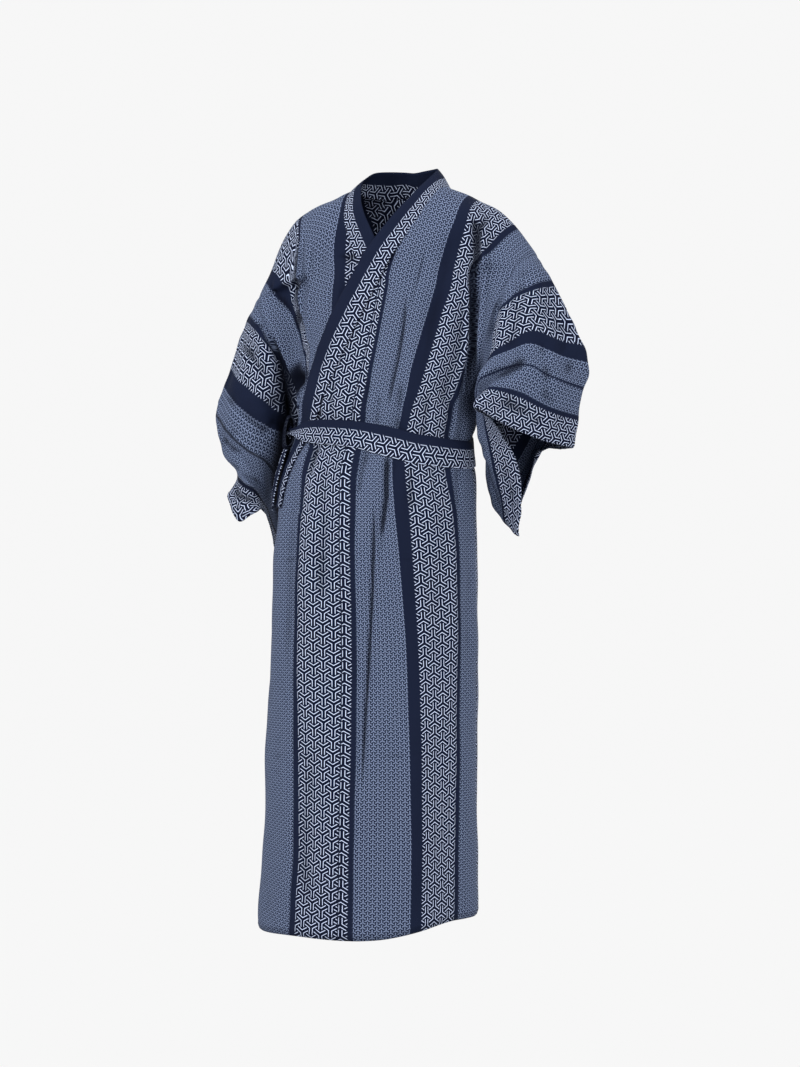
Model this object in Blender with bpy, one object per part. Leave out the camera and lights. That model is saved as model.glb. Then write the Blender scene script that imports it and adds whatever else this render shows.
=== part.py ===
"""Cotton yukata robe with its belt, hollow, in its worn pose.

Metres, +Z up, the robe faces -Y and the wearer's left is +X.  The origin is
the neck base between the shoulders.  Every cloth piece is a grid of points on
the worn form and the same grid set inward by the thickness.
"""
import math

import bmesh
import bpy
import numpy as np

CLOTH = 0.0016       # cloth with its sewn folds
BAND = 0.0024        # collar and belt, several folds thick
GAP = 0.0003         # clearance at every seam
LAP = 0.0017         # clearance where a band lies over the cloth
SIDE = 100.0         # side seams, degrees round from the front
LAYER = 0.0085       # the right front lies this far inside the left front

SEAM_HALF = 0.08     # degrees left free on each side of the overlap seam
BODY_HEIGHTS = (-1.375, -1.20, -1.01, -0.83, -0.67, -0.60, -0.54, -0.505, -0.48, -0.455,
                -0.43, -0.405, -0.385, -0.345, -0.305, -0.27, -0.24, -0.215, -0.19, -0.165)
OVERLAP_HEIGHTS = (-1.375, -1.20, -1.01, -0.83, -0.67, -0.606, -0.60, -0.54, -0.505, -0.48, -0.455,
                   -0.43, -0.405, -0.385, -0.345, -0.305, -0.27, -0.24, -0.215, -0.19, -0.168)
FLARE = ((-1.375, 0.008), (-1.10, 0.004), (-0.70, 0.001), (-0.60, 0.0), (0.0, 0.0))
NECK_FIRST = 22      # body panel rows that the collar is sewn to round the neck
NECK_LAST = 33

# Worn form, a row per height: half width, half depth, centre
FORM_COLUMNS = ("z", "half_width", "half_depth", "centre_x", "centre_y")
FORM = (
    (-1.375, 0.205, 0.162, -0.044, -0.035),
    (-1.100, 0.200, 0.157, -0.042, -0.034),
    (-0.830, 0.197, 0.154, -0.039, -0.032),
    (-0.670, 0.192, 0.152, -0.037, -0.030),
    (-0.540, 0.184, 0.140, -0.034, -0.026),
    (-0.460, 0.170, 0.124, -0.026, -0.022),
    (-0.380, 0.178, 0.132, -0.018, -0.014),
    (-0.280, 0.187, 0.130, -0.010, -0.006),
    (-0.160, 0.188, 0.120, -0.004, 0.000),
    (-0.050, 0.188, 0.110, -0.002, 0.000),
)

# Seam between body panel and front overlap, left side (mirrored for the right)
SEAM_COLUMNS = ("z", "angle")
SEAM = (
    (-1.375, 1.8),
    (-1.040, 2.0),
    (-0.757, 0.5),
    (-0.596, -1.9),
    (-0.508, -4.3),
    (-0.424, -3.1),
    (-0.300, 1.5),
    (-0.148, 6.5),
)

# Collar, a row per station: inner edge and outer (sewn) edge.  Above the
# chest both are points; below they are an angle and a height on the form.
NECK_COLUMNS = ("inner_x", "inner_y", "inner_z", "outer_x", "outer_y", "outer_z")
NECK = (
    (0.000, 0.074, 0.043, 0.000, 0.101, -0.006),
    (0.040, 0.064, 0.046, 0.058, 0.090, -0.002),
    (0.064, 0.030, 0.040, 0.086, 0.042, -0.001),
    (0.068, -0.010, 0.022, 0.091, -0.006, 0.000),
    (0.057, -0.052, -0.008, 0.086, -0.052, -0.022),
    (0.033, -0.092, -0.052, 0.072, -0.086, -0.060),
)
FRONT_COLUMNS = ("inner_angle", "inner_z", "outer_angle", "outer_z")
FRONT = (
    (0.0, -0.101, 16.5, -0.103),
    (-8.5, -0.150, 8.5, -0.150),
    (-17.2, -0.201, 0.7, -0.204),
    (-29.1, -0.276, -9.3, -0.279),
    (-38.0, -0.342, -18.0, -0.345),
    (-50.0, -0.408, -27.0, -0.408),
    (-58.5, -0.460, -38.0, -0.460),
    (-65.0, -0.520, -47.0, -0.520),
    (-69.0, -0.590, -52.0, -0.590),
)

# Armholes, a row per height: front edge and back edge
HOLE_COLUMNS = ("z", "valley_angle", "front_x", "front_y", "back_x", "back_y", "edge_z")
HOLE_LEFT = (
    (-0.385, 70.0, 0.162, -0.024, 0.162, 0.022, -0.385),
    (-0.330, 70.0, 0.177, -0.043, 0.181, 0.056, -0.332),
    (-0.270, 69.0, 0.192, -0.060, 0.202, 0.082, -0.277),
    (-0.215, 66.0, 0.212, -0.068, 0.222, 0.092, -0.228),
    (-0.165, 62.0, 0.235, -0.054, 0.239, 0.088, -0.180),
)
HOLE_RIGHT = (
    (-0.385, 71.0, -0.197, -0.024, -0.197, 0.022, -0.387),
    (-0.330, 72.0, -0.207, -0.041, -0.209, 0.054, -0.338),
    (-0.270, 72.0, -0.224, -0.054, -0.228, 0.078, -0.290),
    (-0.215, 70.0, -0.246, -0.056, -0.250, 0.086, -0.248),
    (-0.165, 66.0, -0.269, -0.042, -0.272, 0.076, -0.213),
)

# Over the shoulder, a row per station from front to back: four points
TOP_COLUMNS = ("neck", "inner", "outer", "armhole")
TOP_LEFT = (
    ((0.0420, -0.1125, -0.122), (0.098, -0.0965, -0.128), (0.160, -0.062, -0.139), (0.243, -0.042, -0.158)),
    ((0.0680, -0.0915, -0.072), (0.116, -0.0810, -0.088), (0.172, -0.054, -0.107), (0.251, -0.030, -0.147)),
    ((0.0870, -0.0520, -0.022), (0.135, -0.0500, -0.045), (0.185, -0.036, -0.073), (0.259, -0.010, -0.136)),
    ((0.0918, -0.0060, 0.000), (0.150, -0.002, -0.026), (0.210, 0.003, -0.064), (0.262, 0.012, -0.131)),
    ((0.0870, 0.0420, -0.001), (0.142, 0.044, -0.028), (0.198, 0.042, -0.066), (0.259, 0.038, -0.136)),
    ((0.0590, 0.0908, -0.002), (0.112, 0.084, -0.036), (0.180, 0.068, -0.080), (0.250, 0.064, -0.147)),
    ((-0.0026, 0.1020, -0.007), (0.082, 0.101, -0.058), (0.166, 0.080, -0.104), (0.244, 0.080, -0.161)),
)
TOP_RIGHT = (
    ((-0.042, -0.0975, -0.122), (-0.100, -0.090, -0.128), (-0.17, -0.060, -0.148), (-0.28, -0.029, -0.194)),
    ((-0.0722, -0.0868, -0.0695), (-0.12, -0.080, -0.086), (-0.186, -0.052, -0.114), (-0.286, -0.016, -0.189)),
    ((-0.0870, -0.0520, -0.022), (-0.140, -0.050, -0.038), (-0.203, -0.034, -0.076), (-0.292, 0.000, -0.186)),
    ((-0.0918, -0.0060, 0.004), (-0.160, -0.002, -0.020), (-0.219, 0.003, -0.052), (-0.294, 0.012, -0.184)),
    ((-0.0870, 0.0420, -0.001), (-0.150, 0.044, -0.024), (-0.208, 0.042, -0.066), (-0.292, 0.028, -0.186)),
    ((-0.0590, 0.0908, -0.002), (-0.117, 0.084, -0.032), (-0.192, 0.070, -0.088), (-0.287, 0.044, -0.189)),
    ((-0.0034, 0.1020, -0.007), (-0.087, 0.101, -0.058), (-0.180, 0.082, -0.114), (-0.281, 0.058, -0.195)),
)

# Sleeves, a row per section from armhole to mouth: points round the section,
# outer fold first, then down the front layer to the bottom fold and back up
SLEEVE_COLUMNS = ("fold", "front_1", "front_2", "front_3", "front_4", "front_5", "bottom",
                  "back_5", "back_4", "back_3", "back_2", "back_1")
SLEEVE_LEFT = (
    ((0.296, 0.012, -0.188), (0.284, -0.042, -0.197), (0.250, -0.080, -0.218), (0.210, -0.078, -0.263),
     (0.196, -0.048, -0.341), (0.178, -0.004, -0.430), (0.158, 0.062, -0.535), (0.155, 0.090, -0.462),
     (0.174, 0.122, -0.376), (0.212, 0.130, -0.271), (0.247, 0.110, -0.212), (0.272, 0.066, -0.190)),
    ((0.355, 0.012, -0.311), (0.314, -0.051, -0.303), (0.273, -0.080, -0.291), (0.212, -0.090, -0.330),
     (0.190, -0.050, -0.405), (0.171, 0.000, -0.489), (0.160, 0.064, -0.572), (0.166, 0.112, -0.528),
     (0.192, 0.152, -0.461), (0.230, 0.168, -0.375), (0.272, 0.142, -0.335), (0.322, 0.080, -0.316)),
    ((0.355, 0.010, -0.376), (0.314, -0.057, -0.360), (0.262, -0.095, -0.338), (0.197, -0.101, -0.361),
     (0.175, -0.064, -0.434), (0.172, -0.021, -0.519), (0.178, 0.052, -0.609), (0.184, 0.106, -0.566),
     (0.203, 0.150, -0.499), (0.236, 0.168, -0.432), (0.280, 0.142, -0.397), (0.325, 0.073, -0.381)),
    ((0.337, 0.002, -0.484), (0.306, -0.060, -0.474), (0.252, -0.105, -0.448), (0.196, -0.143, -0.412),
     (0.226, -0.056, -0.465), (0.245, -0.024, -0.529), (0.236, -0.008, -0.644), (0.227, 0.048, -0.576),
     (0.224, 0.095, -0.520), (0.231, 0.131, -0.482), (0.262, 0.111, -0.481), (0.306, 0.054, -0.486)),
)
SLEEVE_RIGHT = (
    ((-0.321, 0.006, -0.232), (-0.284, -0.050, -0.252), (-0.248, -0.074, -0.297), (-0.229, -0.058, -0.349),
     (-0.231, -0.006, -0.413), (-0.257, 0.043, -0.497), (-0.272, 0.089, -0.600), (-0.290, 0.122, -0.520),
     (-0.296, 0.130, -0.424), (-0.300, 0.122, -0.335), (-0.312, 0.098, -0.268), (-0.325, 0.054, -0.236)),
    ((-0.376, -0.018, -0.405), (-0.331, -0.054, -0.442), (-0.285, -0.061, -0.477), (-0.255, -0.038, -0.503),
     (-0.259, 0.009, -0.540), (-0.272, 0.064, -0.606), (-0.284, 0.112, -0.676), (-0.306, 0.138, -0.606),
     (-0.327, 0.133, -0.530), (-0.356, 0.119, -0.462), (-0.378, 0.082, -0.420), (-0.387, 0.035, -0.404)),
    ((-0.360, -0.028, -0.488), (-0.320, -0.060, -0.507), (-0.279, -0.064, -0.524), (-0.255, -0.038, -0.545),
     (-0.263, 0.008, -0.580), (-0.274, 0.060, -0.636), (-0.285, 0.110, -0.696), (-0.308, 0.130, -0.628),
     (-0.328, 0.127, -0.560), (-0.349, 0.107, -0.513), (-0.366, 0.067, -0.492), (-0.370, 0.016, -0.486)),
    ((-0.320, -0.038, -0.525), (-0.297, -0.066, -0.537), (-0.267, -0.075, -0.558), (-0.256, -0.044, -0.580),
     (-0.265, -0.002, -0.612), (-0.276, 0.052, -0.660), (-0.286, 0.104, -0.714), (-0.302, 0.117, -0.650),
     (-0.317, 0.110, -0.590), (-0.328, 0.083, -0.551), (-0.334, 0.043, -0.532), (-0.333, 0.000, -0.524)),
    ((-0.329, -0.063, -0.567), (-0.291, -0.091, -0.615), (-0.253, -0.096, -0.598), (-0.250, -0.058, -0.592),
     (-0.260, -0.014, -0.626), (-0.271, 0.036, -0.672), (-0.284, 0.094, -0.724), (-0.296, 0.097, -0.664),
     (-0.309, 0.080, -0.612), (-0.321, 0.048, -0.586), (-0.333, 0.011, -0.572), (-0.340, -0.030, -0.565)),
)

# Belt, a row per angle round the form: middle height, width, distance out
BELT_COLUMNS = ("angle", "z", "width", "out")
BELT = (
    (-180.0, -0.452, 0.050, 0.0040),
    (-120.0, -0.444, 0.050, 0.0040),
    (-85.0, -0.447, 0.048, 0.0060),
    (-62.0, -0.450, 0.040, 0.0157),
    (-40.0, -0.451, 0.044, 0.0085),
    (-25.0, -0.4525, 0.044, 0.0070),
    (0.0, -0.459, 0.047, 0.0042),
    (20.0, -0.472, 0.052, 0.0040),
    (45.0, -0.488, 0.052, 0.0040),
    (90.0, -0.494, 0.050, 0.0040),
    (135.0, -0.474, 0.050, 0.0040),
    (180.0, -0.452, 0.050, 0.0040),
)
KNOT_ANGLE = -62.0
KNOT_Z = -0.450
KNOT_HIGH = 0.029    # half height of the wrap
KNOT_DEEP = 0.0078   # half depth of the wrap
KNOT_WIDE = 0.030

# Belt tails, a row per station from the knot down
TAIL_COLUMNS = ("angle", "z", "out", "half_width", "lean")
TAIL_LONG = (
    (-58.5, -0.4816, 0.0155, 0.010, 0.00),
    (-60.0, -0.500, 0.0160, 0.018, 0.16),
    (-64.5, -0.545, 0.0150, 0.023, 0.24),
    (-66.5, -0.590, 0.0140, 0.023, 0.22),
)
TAIL_SHORT = (
    (-65.5, -0.4825, 0.0108, 0.006, 0.00),
    (-72.0, -0.508, 0.0108, 0.015, -0.10),
    (-77.0, -0.545, 0.0110, 0.022, -0.06),
    (-79.0, -0.578, 0.0110, 0.022, 0.00),
)

# Hem, rise above the lowest point by angle round the form
HEM_COLUMNS = ("angle", "rise")
HEM = (
    (-180.0, 0.006),
    (-70.0, 0.002),
    (-25.0, 0.010),
    (6.0, 0.011),
    (24.0, 0.015),
    (39.0, 0.024),
    (56.0, 0.037),
    (70.0, 0.043),
    (118.0, 0.036),
    (180.0, 0.006),
)


def smooth(rows, at):
    """Cubic through rows of numbers; the first column is the position."""
    rows = sorted(rows)
    keys = [row[0] for row in rows]
    at = min(max(at, keys[0]), keys[-1])
    last = len(rows) - 2
    index = min(last, max(0, sum(1 for key in keys if key <= at) - 1))
    span = keys[index + 1] - keys[index]
    part = (at - keys[index]) / span
    found = []
    for column in range(1, len(rows[0])):
        slopes = []
        for here in (index, index + 1):
            before = max(0, here - 1)
            after = min(len(rows) - 1, here + 1)
            rise = rows[after][column] - rows[before][column]
            slopes.append(rise / (keys[after] - keys[before]) * span)
        start = rows[index][column]
        end = rows[index + 1][column]
        value = (2 * part ** 3 - 3 * part ** 2 + 1) * start
        value += (part ** 3 - 2 * part ** 2 + part) * slopes[0]
        value += (3 * part ** 2 - 2 * part ** 3) * end
        value += (part ** 3 - part ** 2) * slopes[1]
        found.append(value)
    return found


def through(points, count, shares=None):
    """Points on a smooth curve through the given points, evenly spaced or at shares."""
    points = [np.array(point, dtype=float) for point in points]
    keys = [0.0]
    for first, second in zip(points, points[1:]):
        keys.append(keys[-1] + max(1e-6, float(np.linalg.norm(second - first))) ** 0.7)
    rows = [(key, *point) for key, point in zip(keys, points)]
    dense = [np.array(smooth(rows, keys[-1] * k / 160)) for k in range(161)]
    steps = [0.0]
    for first, second in zip(dense, dense[1:]):
        steps.append(steps[-1] + float(np.linalg.norm(second - first)))
    targets = np.array(shares if shares is not None else np.linspace(0.0, 1.0, count)) * steps[-1]
    dense = np.array(dense)
    return np.array([[np.interp(t, steps, dense[:, axis]) for axis in range(3)] for t in targets])


def form(angle, z, out=0.0):
    """Point on the worn form; angle 0 is the front, +90 the wearer's left."""
    half_width, half_depth, centre_x, centre_y = smooth(FORM, z)
    turn = math.radians(angle)
    if z < -1.0:
        around = (angle + 180.0) % 360.0 - 180.0
        z += smooth(HEM, around)[0] * ((z + 1.0) / 0.375) ** 2
    x = centre_x + (half_width + out) * math.sin(turn)
    y = centre_y - (half_depth + out) * math.cos(turn)
    return np.array((x, y, z))


def between(key_rows, extra):
    """Key rows with extra rows added on a smooth curve down each column."""
    key_rows = np.array(key_rows)
    middle = key_rows[:, key_rows.shape[1] // 2]
    keys = [0.0]
    for first, second in zip(middle, middle[1:]):
        keys.append(keys[-1] + max(1e-4, float(np.linalg.norm(second - first))))
    stations = []
    for start, end in zip(keys, keys[1:]):
        stations += [start + (end - start) * k / (extra + 1) for k in range(extra + 1)]
    stations.append(keys[-1])
    columns = []
    for column in range(key_rows.shape[1]):
        rows = [(key, *point) for key, point in zip(keys, key_rows[:, column])]
        columns.append([smooth(rows, station) for station in stations])
    return np.array(columns).transpose(1, 0, 2)


def outward(grid, closed, side):
    """Unit normals at the points of a grid, from the cell corners that meet at each."""
    rows, columns = grid.shape[:2]
    normals = np.zeros_like(grid)
    for row in range(rows - 1):
        for column in range(columns if closed else columns - 1):
            after = (column + 1) % columns
            ring = ((row, column), (row, after), (row + 1, after), (row + 1, column))
            for k, here in enumerate(ring):
                normal = np.cross(grid[ring[(k + 1) % 4]] - grid[here], grid[ring[k - 1]] - grid[here])
                normals[here] += side * normal / np.linalg.norm(normal)
    return normals / np.linalg.norm(normals, axis=2, keepdims=True)


def cloth(name, grid, normals, thickness, colour, closed=False):
    """One cloth piece: a grid of points and the same grid set inward."""
    rows, columns = grid.shape[0], grid.shape[1]
    count = rows * columns
    inner = grid - normals * thickness
    points = [tuple(point) for point in grid.reshape(-1, 3)]
    points += [tuple(point) for point in inner.reshape(-1, 3)]
    faces = []

    def corner(row, column):
        return row * columns + column % columns

    for row in range(rows - 1):
        for column in range(columns if closed else columns - 1):
            ring = (corner(row, column), corner(row, column + 1),
                    corner(row + 1, column + 1), corner(row + 1, column))
            straight = math.dist(points[ring[0]], points[ring[2]])
            if straight > math.dist(points[ring[1]], points[ring[3]]):
                ring = ring[1:] + ring[:1]
            for face in (ring[:3], ring[2:] + ring[:1]):
                faces.append(face)
                faces.append(tuple(index + count for index in face[::-1]))
    for column in range(columns if closed else columns - 1):
        for row, step in ((0, 1), (rows - 1, 0)):
            first, second = corner(row, column + step), corner(row, column + 1 - step)
            faces.append((first, second, second + count, first + count))
    if not closed:
        for row in range(rows - 1):
            for column, step in ((0, 0), (columns - 1, 1)):
                first, second = corner(row + step, column), corner(row + 1 - step, column)
                faces.append((first, second, second + count, first + count))
    mesh = bpy.data.meshes.new(name)
    mesh.from_pydata(points, [], faces)
    mesh.update()
    shape = bmesh.new()
    shape.from_mesh(mesh)
    bmesh.ops.recalc_face_normals(shape, faces=shape.faces)
    shape.to_mesh(mesh)
    shape.free()
    piece = bpy.data.objects.new(name, mesh)
    bpy.context.scene.collection.objects.link(piece)
    material = bpy.data.materials.new(name)
    material.use_nodes = True
    shader = material.node_tree.nodes["Principled BSDF"]
    shader.inputs["Base Color"].default_value = (*colour, 1.0)
    shader.inputs["Roughness"].default_value = 0.9
    piece.data.materials.append(material)
    return piece


def mirrored(side, angle):
    return angle if side > 0 else -angle


def front_out(side):
    """The left front lies on the form, the right front just inside it."""
    return 0.0 if side > 0 else -LAYER


def seam_angle(side, z):
    return mirrored(side, smooth(SEAM, z)[0])


def row_across(side, z, start, columns, back):
    """A row of a body panel from its inner edge to its side or armhole edge."""
    out = 0.0 if back or side > 0 else -LAYER
    holes = HOLE_LEFT if side > 0 else HOLE_RIGHT
    edge = mirrored(side, SIDE + (0.06 if back else -0.06))
    if z <= -0.405:
        fade = [out * (1 - (k / (columns - 1)) ** 3) for k in range(columns)]
        angles = np.linspace(start, edge, columns)
        return [form(angle, z, lift) for angle, lift in zip(angles, fade)]
    valley, front_x, front_y, back_x, back_y, edge_z = smooth(holes, z)
    valley = mirrored(side, 192 - valley if back else valley)
    edge = np.array((back_x, back_y, edge_z) if back else (front_x, front_y, edge_z))
    on_form = columns - 3
    angles = np.linspace(start, valley, on_form)
    points = [form(angle, z, out * (1 - (k / columns) ** 3)) for k, angle in enumerate(angles)]
    reach = np.linalg.norm(edge - points[-1])
    onward = points[-1] - points[-2]
    control = points[-1] + onward / np.linalg.norm(onward) * reach * 0.45
    for part in (1 / 3, 2 / 3, 1.0):
        curve = points[on_form - 1] * (1 - part) ** 2 + control * 2 * part * (1 - part) + edge * part ** 2
        points.append(curve)
    return points


def body_panel(side, columns):
    """Front hem, over the shoulder, back hem, in one length of cloth."""
    front = []
    back = []
    for z in BODY_HEIGHTS:
        start = seam_angle(side, z) + side * SEAM_HALF
        front.append(row_across(side, z, start, columns, False))
        back.append(row_across(side, z, side * 179.90, columns, True))
    top = [through(key, columns) for key in (TOP_LEFT if side > 0 else TOP_RIGHT)]
    ends = [front[-2], front[-1]] + top + [back[-1], back[-2]]
    over = between(ends, 1)[4:-4]
    return np.array(front + list(over) + back[::-1])


def overlap(side, columns):
    """Front overlap panel from the seam to the collar or the free edge."""
    edges = [(row[3], row[2], row[0]) for row in FRONT]
    out = front_out(side)
    rows = []
    for z in OVERLAP_HEIGHTS:
        start = seam_angle(side, z) - side * SEAM_HALF
        if z < -0.605:
            end = -69.5
        else:
            outer, inner = smooth(edges, z)
            under = min(0.35 * (outer - inner), 2.2) if z > -0.4 else 0.8 * (outer - inner)
            end = outer - under
        angles = np.linspace(start, mirrored(side, end), columns)
        flare = smooth(FLARE, z)[0] if side > 0 else 0.0
        lifts = [out + flare * (k / (columns - 1)) ** 4 for k in range(columns)]
        rows.append([form(angle, z, lift) for angle, lift in zip(angles, lifts)])
    return np.array(rows)


def neckline(side):
    """Inner and outer collar edges round the neck, densely."""
    rows = []
    for row in NECK:
        rows.append([side * row[0], row[1], row[2], side * row[3], row[4], row[5]])
    out = front_out(side) + LAP + BAND
    first = FRONT[0]
    inner = form(mirrored(side, first[0]), first[1], out)
    outer = form(mirrored(side, first[2]), first[3], out)
    rows.append([*inner, *outer])
    keyed = [(k, *row) for k, row in enumerate(rows)]
    last = len(rows) - 1
    return np.array([smooth(keyed, last * k / 120) for k in range(121)])


def collar(panels):
    """Collar rows, right front end, round the neck, left front end."""
    halves = {}
    for side in (1, -1):
        edge = panels[side][NECK_FIRST:NECK_LAST, 0]
        dense = neckline(side)
        half = []
        for point in edge[::-1]:
            nearest = int(np.argmin(np.linalg.norm(dense[:, 3:] - point, axis=1)))
            inner = dense[nearest, :3]
            toward = inner - point
            outer = point + toward / np.linalg.norm(toward) * 2.5 * GAP
            half.append([inner, (inner + outer) / 2, outer])
        out = front_out(side) + LAP + BAND
        for row in between([[row] for row in FRONT], 1)[1:, 0]:
            inner_angle, inner_z, outer_angle, outer_z = row
            line = []
            for part in (0.0, 0.5, 1.0):
                angle = inner_angle + (outer_angle - inner_angle) * part
                z = inner_z + (outer_z - inner_z) * part
                line.append(form(mirrored(side, angle), z, out))
            half.append(line)
        halves[side] = half
    return np.array(halves[-1][::-1] + halves[1][1:])


def armhole(side, panel):
    """Rows of a panel where the sleeve is sewn on: front half, back half."""
    edge = [k for k in range(len(panel)) if panel[k, -1][2] > -0.404]
    top = max(edge, key=lambda k: panel[k, -1][2])
    front = list(range(top, edge[0] - 1, -1))
    back = list(range(edge[-1], top, -1))
    return front, back


def shares_of(points):
    """How far along its length each point of a line lies, 0 to 1."""
    steps = [0.0]
    for first, second in zip(points, points[1:]):
        steps.append(steps[-1] + float(np.linalg.norm(second - first)))
    return [step / steps[-1] for step in steps]


def sleeve(side, panel):
    front_rows, back_rows = armhole(side, panel)
    away = np.array((side * 3.0 * GAP, 0.0, 0.0))
    front = [panel[k, -1] + away for k in front_rows] + [form(side * SIDE, -0.404) + away]
    back = [panel[k, -1] + away for k in back_rows]
    rows = [front + back]
    front_shares = shares_of(front)
    back_shares = shares_of([front[-1]] + back + [front[0]])
    sections = SLEEVE_LEFT if side > 0 else SLEEVE_RIGHT
    for number, section in enumerate(sections):
        even = (number + 1) / len(sections)
        down_shares = np.linspace(0.0, 1.0, len(front)) * even + np.array(front_shares) * (1 - even)
        up_shares = np.linspace(0.0, 1.0, len(back) + 2) * even + np.array(back_shares) * (1 - even)
        down = through(section[:7], len(front), down_shares)
        up = through(section[6:] + section[:1], len(back) + 2, up_shares)[1:-1]
        rows.append(list(down) + list(up))
    return between(rows, 1)


def belt(columns, stations):
    rows = []
    for k in range(stations):
        angle = -180.0 + 360.0 * k / stations
        z, width, out = smooth(BELT, angle)
        rows.append([form(angle, z + width * (j / (columns - 1) - 0.5), out) for j in range(columns)])
    return np.array(rows).transpose(1, 0, 2)


def knot(columns, stations):
    """The wrap that holds the belt, a band round the belt itself."""
    centre_out = smooth(BELT, KNOT_ANGLE)[2] - BAND / 2
    rows = []
    for k in range(columns):
        angle = KNOT_ANGLE + math.degrees(KNOT_WIDE / 0.15) * (k / (columns - 1) - 0.5)
        ends = abs(k / (columns - 1) - 0.5) * 2
        row = []
        for j in range(stations):
            turn = 2 * math.pi * j / stations
            high = KNOT_HIGH * (1 - 0.12 * ends ** 2)
            deep = KNOT_DEEP * (1 - 0.10 * ends ** 2)
            z = KNOT_Z + high * math.sin(turn)
            out = centre_out + deep * math.cos(turn)
            row.append(form(angle, z, out))
        rows.append(row)
    return np.array(rows)


def tail(table, columns):
    rows = []
    for angle, z, out, half_width, lean in table:
        row = []
        for k in range(columns):
            across = half_width * (2 * k / (columns - 1) - 1)
            row.append(form(angle + math.degrees(across / 0.17), z + lean * across, out))
        rows.append(row)
    return between(rows, 1)


def build():
    for thing in list(bpy.data.objects):
        bpy.data.objects.remove(thing, do_unlink=True)
    navy = (0.030, 0.045, 0.090)
    woven = (0.085, 0.110, 0.170)
    panels = {}
    for side, word in ((1, "left"), (-1, "right")):
        panel = body_panel(side, 10)
        panels[side] = panel
        arm = sleeve(side, panel)
        panel_out = outward(panel, False, side)
        arm_out = outward(arm, True, side)
        front, back = armhole(side, panel)
        seam = front + [None] + back
        for column, row in enumerate(seam):
            if row is not None:
                shared = panel_out[row, -1] + arm_out[0, column]
                shared /= np.linalg.norm(shared)
                panel_out[row, -1] = shared
                arm_out[0, column] = shared
        cloth("body_panel_" + word, panel, panel_out, CLOTH, woven)
        cloth("sleeve_" + word, arm, arm_out, CLOTH, woven, closed=True)
        front_panel = overlap(side, 7)
        cloth("overlap_" + word, front_panel, outward(front_panel, False, -side), CLOTH, woven)
    neck = collar(panels)
    cloth("collar", neck, outward(neck, False, -1), BAND, navy)
    band = belt(3, 72)
    cloth("belt", band, outward(band, True, 1), BAND, navy, closed=True)
    wrap = knot(4, 20)
    cloth("belt_knot", wrap, outward(wrap, True, 1), BAND, navy, closed=True)
    for word, table in (("long", TAIL_LONG), ("short", TAIL_SHORT)):
        strip = tail(table, 4)
        cloth("belt_tail_" + word, strip, outward(strip, False, -1), BAND, navy)


build()
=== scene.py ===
"""Visual model of a cotton yukata robe with its belt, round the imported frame.

The first tables and functions repeat those of the CAD part, because every piece
lies on its solid.  The coarse grids are then refined, creased and given their cloth.
"""
import math

import bpy
import numpy as np
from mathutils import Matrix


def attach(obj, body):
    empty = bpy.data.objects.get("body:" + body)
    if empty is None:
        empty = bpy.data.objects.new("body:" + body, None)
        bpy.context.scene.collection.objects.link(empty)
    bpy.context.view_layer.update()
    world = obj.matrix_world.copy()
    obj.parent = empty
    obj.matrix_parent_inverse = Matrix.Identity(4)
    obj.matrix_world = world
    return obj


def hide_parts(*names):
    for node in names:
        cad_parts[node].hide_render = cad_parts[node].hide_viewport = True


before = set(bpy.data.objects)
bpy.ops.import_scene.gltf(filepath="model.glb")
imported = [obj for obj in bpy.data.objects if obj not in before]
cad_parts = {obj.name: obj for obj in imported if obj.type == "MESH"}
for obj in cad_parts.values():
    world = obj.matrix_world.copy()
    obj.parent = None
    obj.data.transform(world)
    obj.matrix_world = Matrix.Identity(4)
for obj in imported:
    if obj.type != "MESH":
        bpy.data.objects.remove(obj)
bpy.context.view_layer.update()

# ---------------------------------------------------------------- the solids
BAND = 0.0024        # collar and belt in the CAD part, several folds thick
GAP = 0.0003         # clearance at every seam
LAP = 0.0017         # clearance where a band lies over the cloth
SIDE = 100.0         # side seams, degrees round from the front
LAYER = 0.0085       # the right front lies this far inside the left front
SEAM_HALF = 0.08     # degrees left free on each side of the overlap seam
SIDE_HALF = 0.06     # and on each side of the side seam
CENTRE_ANGLE = 179.90    # the panels meet at the centre of the back
HOLE_LOW = -0.405    # the side seam ends and the armhole starts
EDGE_TOP = -0.605    # the overlap has its free edge below this height
EDGE_ANGLE = -69.5
SAMPLES = 160        # steps along a curve
BODY_HEIGHTS = (-1.375, -1.20, -1.01, -0.83, -0.67, -0.60, -0.54, -0.505, -0.48, -0.455,
                -0.43, -0.405, -0.385, -0.345, -0.305, -0.27, -0.24, -0.215, -0.19, -0.165)
OVERLAP_HEIGHTS = (*BODY_HEIGHTS[:5], -0.606, *BODY_HEIGHTS[5:-1], -0.168)
# How far the overlap's free edge stands out, by height
FLARE = ((-1.375, 0.008), (-1.10, 0.004), (-0.70, 0.001), (-0.60, 0.0), (0.0, 0.0))
NECK_FIRST = 22      # body panel rows that the collar is sewn to round the neck
NECK_LAST = 33

# Worn form, a row per height: half width, half depth, centre
# columns: z, half_width, half_depth, centre_x, centre_y
FORM = (
    (-1.375, 0.205, 0.162, -0.044, -0.035),
    (-1.100, 0.200, 0.157, -0.042, -0.034),
    (-0.830, 0.197, 0.154, -0.039, -0.032),
    (-0.670, 0.192, 0.152, -0.037, -0.030),
    (-0.540, 0.184, 0.140, -0.034, -0.026),
    (-0.460, 0.170, 0.124, -0.026, -0.022),
    (-0.380, 0.178, 0.132, -0.018, -0.014),
    (-0.280, 0.187, 0.130, -0.010, -0.006),
    (-0.160, 0.188, 0.120, -0.004, 0.000),
    (-0.050, 0.188, 0.110, -0.002, 0.000),
)

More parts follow.
